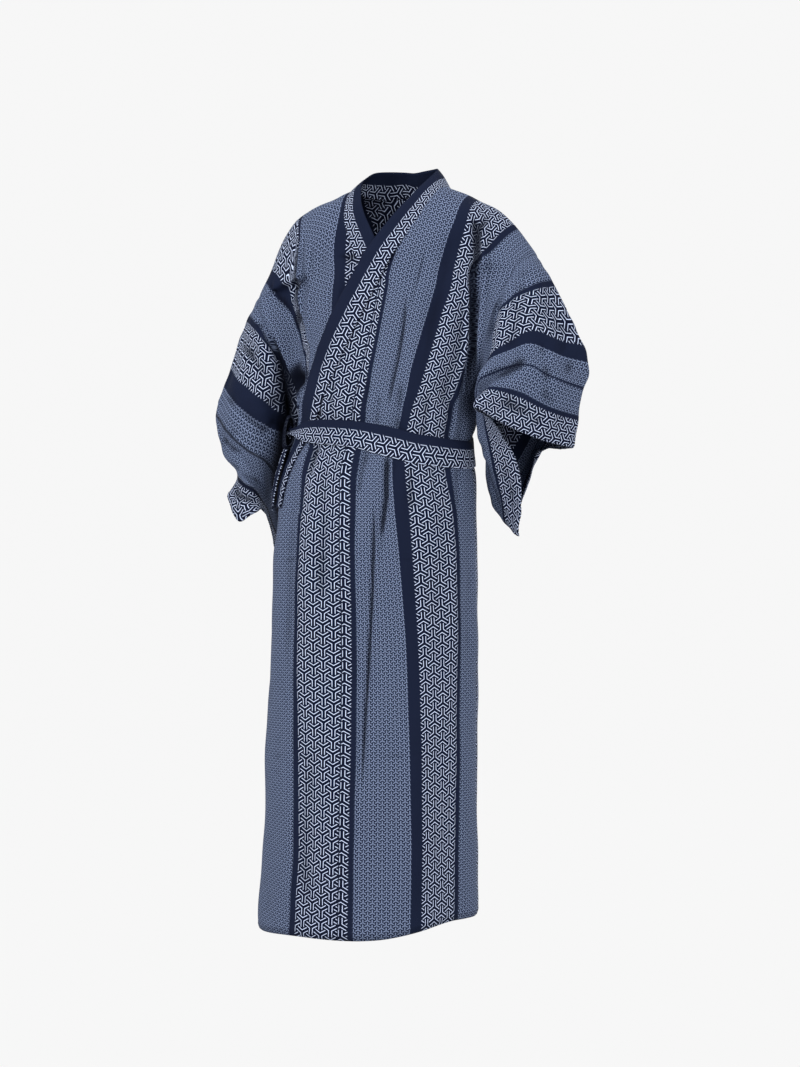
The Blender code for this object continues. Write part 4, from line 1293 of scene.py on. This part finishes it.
def cloth_material(name, bands):
    """Indigo cotton with woven stripes in two sizes of the interlocking Y pattern."""
    material = bpy.data.materials.new(name)
    material.use_nodes = True
    tree = material.node_tree
    shader = tree.nodes["Principled BSDF"]
    maths = Maths(tree)
    place = tree.nodes.new("ShaderNodeUVMap")
    place.uv_map = "roll"
    roll, length = add_node(tree, "ShaderNodeSeparateXYZ", place.outputs[0]).outputs[:2]
    in_large, in_fine = stripe_masks(tree, roll, bands)
    large = maths("MULTIPLY", pattern(tree, roll, length, *LARGE_MOTIF), in_large)
    fine = maths("MULTIPLY", pattern(tree, roll, length, *FINE_MOTIF), in_fine)

    spot = tree.nodes.new("ShaderNodeTexCoord").outputs["Object"]
    wear = add_node(tree, "ShaderNodeTexNoise", spot, Scale=9.0, Detail=4.0).outputs[0]
    threads = add_node(tree, "ShaderNodeMapping", place.outputs[0], Scale=(1800.0, 60.0, 1.0))
    slub = add_node(tree, "ShaderNodeTexNoise", threads.outputs[0], Scale=1.0, Detail=2.0).outputs[0]

    ground = mixed(tree, wear, brighter(NAVY, 0.82), brighter(NAVY, 1.22))
    ground = mixed(tree, maths("MULTIPLY", slub, 0.35), ground, brighter(NAVY, 1.9))
    ground = mixed(tree, maths("MULTIPLY", in_large, 0.55), ground, BETWEEN_LINES)
    thread = mixed(tree, wear, brighter(WHITE, 0.95), brighter(WHITE, 1.05))
    colour = mixed(tree, large, ground, thread)
    colour = mixed(tree, fine, colour, GREY)
    # painted shade: the fold attribute darkens the colour in folds, hollows and hems and over the knot and
    # short tail; it also draws the right sleeve's two thin navy lines
    fold = tree.nodes.new("ShaderNodeAttribute")
    fold.attribute_name = "fold"
    colour = mixed(tree, fold.outputs["Fac"], colour, PAINTED_SHADE_AND_LINE_COLOUR)
    tree.links.new(colour, shader.inputs["Base Color"])

    turns = (2 * math.pi / WARP, 2 * math.pi / WEFT, 1.0)
    weave = add_node(tree, "ShaderNodeMapping", place.outputs[0], Scale=turns)
    over, under = add_node(tree, "ShaderNodeSeparateXYZ", weave.outputs[0]).outputs[:2]
    height = maths("MULTIPLY", maths("SINE", over), maths("SINE", under))
    height = maths("ADD", height, maths("MULTIPLY", slub, 1.5))
    crumple = add_node(tree, "ShaderNodeTexNoise", spot, Scale=55.0, Detail=5.0, Roughness=0.55)
    height = maths("ADD", height, maths("MULTIPLY", crumple.outputs[0], 9.0))
    bump = add_node(tree, "ShaderNodeBump", Strength=0.35, Distance=0.00012)
    tree.links.new(height, bump.inputs["Height"])
    tree.links.new(bump.outputs[0], shader.inputs["Normal"])
    shader.inputs["Roughness"].default_value = 0.88
    shader.inputs["Specular IOR Level"].default_value = 0.05
    return material


CLOTH_MATERIAL = cloth_material("indigo_cotton", BODY_BANDS)
SLEEVE_MATERIAL = cloth_material("indigo_cotton_sleeve", SLEEVE_BANDS)
SHELL = 0.0009           # thickness of a single cloth
KNOT_SHELL = 0.0016
BAND_SHELL = 0.0021      # collar, belt and tails


def make_piece(name, points, roll, length, fold, sign, closed=False, thickness=SHELL,
               material=CLOTH_MATERIAL):
    """Adds the piece of a fine grid, with its roll places as UV and a cloth thickness."""
    rows, columns = points.shape[:2]
    wide = columns if closed else columns - 1
    row, column = np.meshgrid(np.arange(rows - 1), np.arange(wide), indexing="ij")
    row, column = row.ravel(), column.ravel()
    ring = [(row, column), (row, column + 1), (row + 1, column + 1), (row + 1, column)]
    if sign < 0:
        ring = ring[::-1]
    corners = np.array([r * columns + c % columns for r, c in ring]).T
    uv = np.stack((roll, length), axis=2)
    spots = np.array([uv[r, c] for r, c in ring]).transpose(1, 0, 2)
    mesh = bpy.data.meshes.new(name + "_cloth")
    mesh.vertices.add(rows * columns)
    mesh.vertices.foreach_set("co", points.reshape(-1))
    mesh.loops.add(corners.size)
    mesh.loops.foreach_set("vertex_index", corners.reshape(-1).astype(np.int32))
    mesh.polygons.add(len(corners))
    mesh.polygons.foreach_set("loop_start", (np.arange(len(corners)) * 4).astype(np.int32))
    mesh.polygons.foreach_set("use_smooth", np.ones(len(corners), dtype=bool))
    mesh.uv_layers.new(name="roll").data.foreach_set("uv", spots.reshape(-1))
    # painted shade, and the right sleeve's thin navy lines, carried as a point attribute for the material
    depth = mesh.attributes.new("fold", "FLOAT", "POINT")
    depth.data.foreach_set("value", fold.reshape(-1).astype(np.float32))
    mesh.update(calc_edges=True)
    mesh.validate()
    piece = bpy.data.objects.new(name + "_cloth", mesh)
    bpy.context.scene.collection.objects.link(piece)
    piece.data.materials.append(material)
    solid = piece.modifiers.new("cloth", "SOLIDIFY")
    solid.thickness = thickness
    solid.offset = -1.0
    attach(piece, "root")
    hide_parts(name)


# ---------------------------------------------------------------- body panels
SIDES = ((1, "left"), (-1, "right"))
SHOULDER_FIRST = 20      # panel rows that go over the shoulder
SHOULDER_LAST = 32
SIDE_SEAM_TOP = 11       # front row that the side seam reaches, and the back one
SIDE_SEAM_BACK = 41
CENTRE_BACK = 32.99      # panel rows from here on are sewn to the other panel
FRONT_STEP = 0.0048      # fine grid on the front, shoulder and back
SHOULDER_STEP = 0.0042
BACK_STEP = 0.0098
INNER_DEEPER = 0.006     # the inner right front lies this much deeper
# Fine columns in each gap of a panel, closest where the sharp folds run
COLUMN_COUNTS = {
    1: (9, 16, 12, 7, 7, 12, 12, 7, 7),
    -1: (7, 12, 7, 12, 12, 12, 12, 8, 7),
}


def lifted(points, heights, sign, closed=False):
    """A grid moved out along its normals."""
    return points + heights[..., None] * vertex_normals(points, sign, closed)


def row_counts_of(coarse):
    """Fine rows in each gap of a panel, fewer on the back."""
    counts = []
    for k, gap in enumerate(gaps(coarse)):
        step = BACK_STEP
        if k < SHOULDER_FIRST - 1:
            step = FRONT_STEP
        elif k <= SHOULDER_LAST:
            step = SHOULDER_STEP
        counts.append(max(2, math.ceil(gap / step)))
    return counts


def panel_heights(side, points, rows, columns, distance):
    """How far a body panel's cloth stands out from its plain form."""
    heights = body_field(points)
    shoulder = ramp(rows, 12, 6) * ramp(rows, 44, -6)
    heights += uneven("shoulder", points) * shoulder[:, None]
    at_neck = ((rows > SHOULDER_FIRST) & (rows < SHOULDER_LAST + 2))[:, None]
    heights = heights * (1 - bell(distance["first_column"], 0.018) * at_neck)
    sewn = ((rows < SHOULDER_FIRST) | (rows > SHOULDER_LAST))[:, None]
    side_seam = seam_dip(distance["last_column"], 0.0016, 0.005)
    heights += seam_dip(distance["first_column"]) * sewn + side_seam
    heights += hem_turn(distance["first_row"]) + hem_turn(distance["last_row"])
    if side < 0:
        below = (rows < SHOULDER_FIRST)[:, None]
        heights -= INNER_DEEPER * ramp(columns, 1.7, -0.7)[None] * below
    for *shape, line in PANEL_CREASES[side]:
        spots = [points[np.argmin(np.abs(rows - row)), np.argmin(np.abs(columns - column))]
                 for row, column in line]
        heights += crease(points, spots, *shape)
    return heights


def valley_shade(rows, columns):
    """The valley beside the left armhole is in shadow on the side towards the sleeve."""
    valley = np.array(PANEL_CREASES[1][0][4])[::-1]
    beside = columns[None] - np.interp(rows, valley[:, 0], valley[:, 1])[:, None] - 0.22
    ends = ramp(rows, 11.5, 1.5) * ramp(rows, 25.0, -1.5)
    return 0.85 * ends[:, None] * bell(beside, 0.26, 4)


coarse_panels = {side: body_panel(side, 10) for side, _ in SIDES}
fine_panels = {}
for side, word in SIDES:
    coarse = coarse_panels[side]
    row_counts = row_counts_of(coarse)
    points, rows, columns = refine(coarse, row_counts, COLUMN_COUNTS[side])
    roll = roll_from_table(points, columns, LEFT_ROLL if side > 0 else RIGHT_ROLL, rows, side)
    length = along(points, roll, 0)
    distance = edge_distances(points)
    heights = panel_heights(side, points, rows, columns, distance)
    # painted shade along the hems, in the hollows, in the valley beside the left armhole and in the folds
    painted_hems = np.maximum(painted_hem_shade(distance["first_row"]), painted_hem_shade(distance["last_row"]))
    painted_shade = np.maximum(painted_hems, shadows("body_panel_" + word, rows, columns))
    if side > 0:
        painted_shade = np.maximum(painted_shade, valley_shade(rows, columns))
    fine_panels[side] = {
        "points": lifted(points, heights, side),
        "rows": rows,
        "row_counts": row_counts,
        "roll": roll,
        "length": length,
        "fold": np.maximum(painted_fold_shade(heights), painted_shade),
    }

# the panels' edges meet at the side seams and down the centre of the back
for panel in fine_panels.values():
    front = np.where(panel["rows"] <= SIDE_SEAM_TOP)[0]
    back = np.where(panel["rows"] >= SIDE_SEAM_BACK)[0]
    points = panel["points"]
    meet(points, (back, points.shape[1] - 1), points[front, -1])
left, right = fine_panels[1], fine_panels[-1]
centre = left["points"][np.where(left["rows"] >= CENTRE_BACK)[0], 0]
meet(right["points"], (np.where(right["rows"] >= CENTRE_BACK)[0], 0), centre)

for side, word in SIDES:
    panel = fine_panels[side]
    along_panel = -panel["length"]
    make_piece("body_panel_" + word, panel["points"], panel["roll"], along_panel, panel["fold"], side)


# ---------------------------------------------------------------- overlaps
OVERLAP_STEPS = {1: 0.0048, -1: 0.0065}
OVERLAP_START = {1: 192.0, -1: 134.0}    # roll place at the seam, mm
LINES_BELOW = -0.46                      # the stripe's edges are read below this height


def overlap_table(side, coarse):
    """Roll places of an overlap, a row per grid row, from the stripe's two edges."""
    table = []
    for k, z in enumerate(OVERLAP_HEIGHTS):
        pairs = [(0, OVERLAP_START[side])]
        if side > 0 and z < LINES_BELOW:
            angles = around_form(coarse[k])
            for edge, place in zip(smooth(OVERLAP_LINES, z), (279.0, 289.0)):
                pairs.append((float(np.interp(-edge, -angles, range(len(angles)))), place))
        table.append((k, *pairs))
    return table


for side, word in SIDES:
    coarse = overlap(side, 7)
    step = OVERLAP_STEPS[side]
    across_counts = counts_for(coarse.transpose(1, 0, 2), step)
    points, rows, columns = refine(coarse, counts_for(coarse, step), across_counts)
    roll = roll_from_table(points, columns, overlap_table(side, coarse), rows, side, 10)
    length = along(points, roll, 0)
    distance = edge_distances(points)
    heights = body_field(points) - (INNER_DEEPER if side < 0 else 0.0)
    if side > 0:
        # the free edge waves a little, and never cuts into the cloth under it
        nearest = np.clip(np.round(rows).astype(int), 0, len(coarse) - 1)
        free = (coarse[:, 0, 2][nearest] < -0.60)[:, None]
        edge = distance["last_column"]
        heights += 0.0022 * np.sin(length * 2 * math.pi / 0.31 + 0.7) * np.exp(-edge / 0.03) * free
        heights = np.where(edge < 0.02, np.maximum(heights, -0.002), heights)
    heights += seam_dip(distance["first_column"]) + hem_turn(distance["first_row"])
    points = lifted(points, heights, -side)
    panel = fine_panels[side]
    seam = panel["points"][np.where(panel["rows"] <= SHOULDER_FIRST)[0], 0]
    meet(points, (np.arange(len(rows)), 0), seam)
    # painted shade in the folds and along the hem
    fold = np.maximum(painted_fold_shade(heights), painted_hem_shade(distance["first_row"]))
    make_piece("overlap_" + word, points, roll, length, fold, -side)


# ---------------------------------------------------------------- sleeves
SLEEVE_STEP = 0.0042
LEAST_COLUMNS = 5        # fine columns in each gap round a sleeve, at the least
THIN_REACHES = (0.115, 0.17)    # reach of the right sleeve's two thin dark lines, in rows


def sleeve_counts(front_rows, back_rows, panel_counts):
    """Fine columns in each gap round a sleeve from its bottom, as on the panel it is sewn to."""
    counts = [panel_counts[row] for row in front_rows[1:]] + [0, 0]
    counts += [panel_counts[row] for row in back_rows[1:] + front_rows[:1]]
    counts = [max(count, LEAST_COLUMNS) for count in counts]
    bottom = len(front_rows)
    return counts[bottom:] + counts[:bottom]


def sleeve_roll(side, rows, from_bottom, last):
    """Roll places over a sleeve's fine grid, and the rows where its two thin lines lie."""
    table = np.array(SLEEVE_ROLL[side])
    roll = np.zeros((len(rows), len(from_bottom)))
    thin = np.full((2, len(from_bottom)), -9.0)
    for c, distance in enumerate(from_bottom):
        start, at_284, at_181, at_121, at_69 = (
            np.interp(distance, table[:, 0], table[:, k]) for k in range(1, 6))
        if side > 0:
            spots = [(0, start), (at_284, 284), (at_181, 181.5), (at_121, 121.5),
                     (at_69, 69.5), (last, 5)]
        else:
            thin[:, c] = at_121 + 0.01, at_69 + 0.07
            spots = [(at_284, 284), (at_181, 181.5), (at_121 - 0.03, 125),
                     (at_121 + 0.03, LOOSE_FINE[0]), (at_69 - 0.12, LOOSE_FINE[1]),
                     (at_69 - 0.06, 75), (at_69 + 0.3, 64), (last, 5)]
            if at_284 > 0:
                spots.insert(0, (0, start))
        roll[:, c] = np.interp(rows, [spot[0] for spot in spots], [spot[1] for spot in spots])
    return softened(roll.T, 4).T / 1000, thin


def place_on(points, rows, columns, row, column):
    """Point of a fine grid nearest to a place given in coarse rows and columns."""
    return points[int(np.argmin(np.abs(rows - row))), int(np.argmin(np.abs(columns - column)))]


def armhole_ring(points, columns, around, front_rows, back_rows, panel):
    """A sleeve's first row moved onto the edge of its panel."""
    ring = points[0].copy()
    bottom = len(front_rows)
    edge = panel["points"][:, -1]
    for c, column in enumerate(columns):
        place = (column + bottom) % around
        if place <= bottom - 1:
            row = front_rows[0] - place
        elif place < bottom + 1:
            continue
        elif place <= around - 1:
            row = back_rows[0] - (place - bottom - 1)
        else:
            row = front_rows[0] + 1 - (place - (around - 1))
        ring[c] = [np.interp(row, panel["rows"], edge[:, axis]) for axis in range(3)]
    return ring


for side, word in SIDES:
    name = "sleeve_" + word
    coarse = coarse_panels[side]
    panel = fine_panels[side]
    front_rows, back_rows = armhole(coarse)
    bottom = len(front_rows)
    arm = np.roll(sleeve(side, coarse), -bottom, axis=1)
    around = arm.shape[1]
    counts = sleeve_counts(front_rows, back_rows, panel["row_counts"])
    points, rows, columns = refine(arm, counts_for(arm, SLEEVE_STEP), counts, True)
    turned = np.concatenate((columns, (float(around),)))
    roll, thin = sleeve_roll(side, rows, np.minimum(turned, around - turned), arm.shape[0] - 1)
    length = along(points, roll, 1, True)
    heights = uneven(name, points)
    for *shape, line in SLEEVE_CREASES[side]:
        spots = dense_line(line, lambda row, column: place_on(
            points, rows, columns, row, (column - bottom) % around))
        heights += crease(points, spots, *shape)
    down = edge_distances(points)["first_row"]
    heights *= ramp(down, 0, 0.03)
    heights += hem_turn(down[-1:] - down, 0.0022, 0.008)
    from_seam = np.minimum(columns, around - columns) * 0.03
    heights += seam_dip(from_seam[None], 0.0015, 0.006)
    points = lifted(points, heights, side, True)
    shift = armhole_ring(points, columns, around, front_rows, back_rows, panel) - points[0]
    fade = np.clip(1 - down / 0.022, 0, 1) ** 2
    points = points + fade[..., None] * shift[None]
    # painted shade in the folds and in the hollow by the body; the lines below draw the right sleeve's two
    # thin navy lines the same way
    fold = np.maximum(painted_fold_shade(heights, True), shadows(name, rows, (columns + bottom) % around))
    for place, reach in zip(thin[:, :-1], THIN_REACHES):
        fold = np.maximum(fold, 0.9 * bell(rows[:, None] - place, reach, 4))
    make_piece(name, points, roll, length, fold, side, True, SHELL, SLEEVE_MATERIAL)


# ---------------------------------------------------------------- collar, belt
BAND_STEP = 0.005        # fine grid along the collar and the belt, and down the tails
TAIL_STEP = 0.0035
BELT_STATIONS = 72       # coarse stations round the belt and round its knot
KNOT_STATIONS = 20
COLLAR_BULGE = 0.0012    # the middle of a band stands out this far
BELT_BULGE = 0.0008
UNDER_DEEPER = 0.004     # the collar's inner end lies this much deeper
LIP = (0.0022, 0.0003)   # the collar's outer edge reaches on to the panels, and out
KNOT_SHADE = 0.96        # the knot and the shorter tail lie in shadow
TAIL_SHADES = {"long": 0.0, "short": 0.93}
# Roll place at one edge of each band, and how much of the roll it shows, metres
COLLAR_ROLL = (-0.046, 0.052)
COLLAR_SHIFT = 0.016     # less at the low end
BELT_ROLL = (0.013, 0.050)
KNOT_ROLL = (-0.040, 0.034)
TAIL_ROLL = (-0.036, 0.023)
TAIL_HALF = 0.02


def by_row(values, count):
    """Values of a grid's rows, repeated over its columns."""
    return np.repeat(values[:, None], count, axis=1)


coarse = collar(coarse_panels)
points, rows, columns = refine(coarse, counts_for(coarse, BAND_STEP), [6, 6])
across = by_row(columns / 2, len(rows)).T
end_x, end_z = points[:, :1, 0], points[:, :1, 2]
low_end = ramp(end_z, -0.335, -0.085) * (end_x < 0)
roll = COLLAR_ROLL[0] + COLLAR_ROLL[1] * across - COLLAR_SHIFT * low_end
length = along(points, roll, 0)
from_back = np.abs(rows - (coarse.shape[0] - 1) / 2)[:, None]
heights = 0.75 * body_field(points) * ramp(from_back, 9, 4) + uneven("collar", points)
heights += COLLAR_BULGE * (1 - (2 * across - 1) ** 4)
# below the chest the inner end lies deeper, under the other
heights -= UNDER_DEEPER * (ramp(end_z, -0.14, -0.04) * ramp(end_x, 0, 0.01))
normals = vertex_normals(points, -1, False)
points = points + heights[..., None] * normals
# the outer edge ends in a lip that reaches the panels
outer = points[:, -1:] - points[:, -2:-1]
outer /= np.linalg.norm(outer, axis=2, keepdims=True)
lip = points[:, -1:] + outer * LIP[0] + normals[:, -1:] * LIP[1]
points = np.concatenate((points, lip), axis=1)
roll = np.concatenate((roll, roll[:, -1:] + 0.002), axis=1)
length = np.concatenate((length, length[:, -1:]), axis=1)
heights = np.concatenate((heights, heights[:, -1:]), axis=1)
# painted shade in the collar's folds
make_piece("collar", points, roll, length, painted_fold_shade(heights), -1, False, BAND_SHELL)

coarse = belt(3, BELT_STATIONS)
around_counts = counts_for(coarse.transpose(1, 0, 2), BAND_STEP, True)
points, rows, columns = refine(coarse, [6, 6], around_counts, True)
up = by_row(rows / 2, len(columns) + 1)
roll = BELT_ROLL[0] - BELT_ROLL[1] * up
length = along(points, roll, 1, True)
up = up[:, :-1]
angles = -180 + 360 / BELT_STATIONS * columns
heights = BELT_BULGE * (1 - (2 * up - 1) ** 4) + uneven("belt", points)
creased = np.sin(up * 3.4 * 2 * math.pi + 0.02 * angles[None])
heights += 0.0018 * bell(angles - KNOT_ANGLE, 17.0)[None] * creased
points = lifted(points, heights, 1, True)
# the knot draws the belt together
pinch = 0.92 * bell(angles - KNOT_ANGLE, 19.0)[None]
middle = points[:, :, 2].mean(axis=0, keepdims=True)
points[..., 2] = middle + (points[..., 2] - middle) * (1 - pinch)
# painted shade in the belt's folds
make_piece("belt", points, roll, length, painted_fold_shade(heights, True), 1, True, BAND_SHELL)

coarse = knot(4, KNOT_STATIONS)
points, rows, columns = refine(coarse, [7, 7, 7], [4] * KNOT_STATIONS, True)
over = by_row(rows / 3, len(columns) + 1)
roll = KNOT_ROLL[0] + KNOT_ROLL[1] * over
length = along(points, roll, 1, True)
over = over[:, :-1]
turn = columns / KNOT_STATIONS * 2 * math.pi
heights = 0.0009 * np.sin(over * 2 * math.pi * 2.6 + 0.8 * np.sin(turn)[None])
heights += uneven("belt_knot", points) - 0.0010 * np.abs(2 * over - 1) ** 6
# painted shadow: the knot is darkened all over, and in its folds
shade = np.maximum(painted_fold_shade(heights, True), KNOT_SHADE)
make_piece("belt_knot", lifted(points, heights, 1, True), roll, length, shade, 1, True, KNOT_SHELL)

for word, table in (("long", TAIL_LONG), ("short", TAIL_SHORT)):
    coarse = tail(table, 4)
    points, rows, columns = refine(coarse, counts_for(coarse, TAIL_STEP), [5, 5, 5])
    beside = by_row(columns / 3 * 2 - 1, len(rows)).T
    roll = TAIL_ROLL[0] + TAIL_ROLL[1] * np.abs(beside)
    length = along(points, TAIL_HALF * beside, 0)
    down = np.clip(rows / rows[-1], 0, 1)[:, None]
    heights = 0.0018 * (1 - down) * np.cos(beside * 7.0)
    heights = heights + 0.0012 * down * np.sin(beside * 2.4 + 5 * down)
    heights += uneven("belt_tail", points)
    # painted shade in the folds; the short tail is darkened all over as it lies in shadow
    shade = np.maximum(painted_fold_shade(heights), TAIL_SHADES[word])
    points = lifted(points, heights, -1)
    make_piece("belt_tail_" + word, points, roll, length, shade, -1, False, BAND_SHELL)


# ---------------------------------------------------------------- studio
FLOOR_Z = -1.585
FLOOR_FLAT = 6.0         # the floor is flat this far out, then curves up
FLOOR_CURVE = 2.5
WALL_TOP = 9.0
FLOOR_SPOKES = 96
FLOOR_GLOW = 0.925
CURVE_STEPS = 12
TARGET = (0.0, 0.0, -0.638)
LIGHT_TARGET = (0.0, 0.0, -0.6)
AZIMUTH = math.radians(23.0)
DISTANCE = 4.0
LENS = 96.84
# Lights: name, place, size, watts
LIGHTS = (
    ("key", (-1.6, -3.2, 1.6), 2.2, 95.0),
    ("fill", (3.0, -2.6, 0.4), 2.6, 60.0),
    ("top", (0.3, 0.3, 3.0), 2.4, 40.0),
    ("rear", (0.0, 3.6, 1.2), 2.6, 55.0),
)


def studio_floor():
    """A round floor that curves up into a wall all round."""
    profile = [(FLOOR_FLAT / 2, 0.0), (FLOOR_FLAT, 0.0)]
    for k in range(1, CURVE_STEPS + 1):
        turn = math.pi / 2 * k / CURVE_STEPS
        out, up = FLOOR_CURVE * math.sin(turn), FLOOR_CURVE * (1 - math.cos(turn))
        profile.append((FLOOR_FLAT + out, up))
    profile.append((FLOOR_FLAT + FLOOR_CURVE, WALL_TOP))
    points = [(0.0, 0.0, FLOOR_Z)]
    for out, up in profile:
        for k in range(FLOOR_SPOKES):
            turn = 2 * math.pi * k / FLOOR_SPOKES
            points.append((out * math.cos(turn), out * math.sin(turn), FLOOR_Z + up))
    following = [(k, (k + 1) % FLOOR_SPOKES) for k in range(FLOOR_SPOKES)]
    faces = [(0, 1 + k, 1 + after) for k, after in following]
    for ring in range(len(profile) - 1):
        inner = 1 + ring * FLOOR_SPOKES
        outer = inner + FLOOR_SPOKES
        faces += [(inner + k, outer + k, outer + after, inner + after) for k, after in following]
    mesh = bpy.data.meshes.new("studio_floor")
    mesh.from_pydata(points, [], faces)
    for face in mesh.polygons:
        face.use_smooth = True
    floor = bpy.data.objects.new("studio_floor", mesh)
    bpy.context.scene.collection.objects.link(floor)
    material = bpy.data.materials.new("studio_paint")
    material.use_nodes = True
    shader = material.node_tree.nodes["Principled BSDF"]
    for name, value in (
        ("Base Color", (0.004, 0.004, 0.004, 1.0)),
        ("Roughness", 0.95),
        ("Specular IOR Level", 0.0),
        ("Emission Color", (1.0, 1.0, 1.0, 1.0)),
        ("Emission Strength", FLOOR_GLOW),
    ):
        shader.inputs[name].default_value = value
    floor.data.materials.append(material)


def look_at(thing, target):
    """Turns a lamp or the camera towards a place."""
    way = np.array(target) - np.array(thing.location)
    flat = math.hypot(way[0], way[1])
    thing.rotation_euler = (math.atan2(flat, -way[2]), 0.0, math.atan2(-way[0], way[1]))


scene = bpy.context.scene
studio_floor()
for name, place, size, watts in LIGHTS:
    data = bpy.data.lights.new(name, "AREA")
    data.size = size
    data.energy = watts
    lamp = bpy.data.objects.new(name, data)
    lamp.location = place
    lamp.visible_camera = False
    look_at(lamp, LIGHT_TARGET)
    scene.collection.objects.link(lamp)
world = bpy.data.worlds.new("studio")
world.use_nodes = True
world.node_tree.nodes["Background"].inputs["Color"].default_value = (0.95, 0.96, 1.0, 1.0)
world.node_tree.nodes["Background"].inputs["Strength"].default_value = 0.55
scene.world = world
scene.view_settings.view_transform = "Standard"

camera_data = bpy.data.cameras.new("camera")
camera_data.lens = LENS
camera_data.sensor_width = 36.0
camera_data.sensor_fit = "HORIZONTAL"
camera = bpy.data.objects.new("camera", camera_data)
away = np.array((math.sin(AZIMUTH), -math.cos(AZIMUTH), 0.0)) * DISTANCE
camera.location = np.array(TARGET) + away
look_at(camera, TARGET)
scene.collection.objects.link(camera)
scene.camera = camera
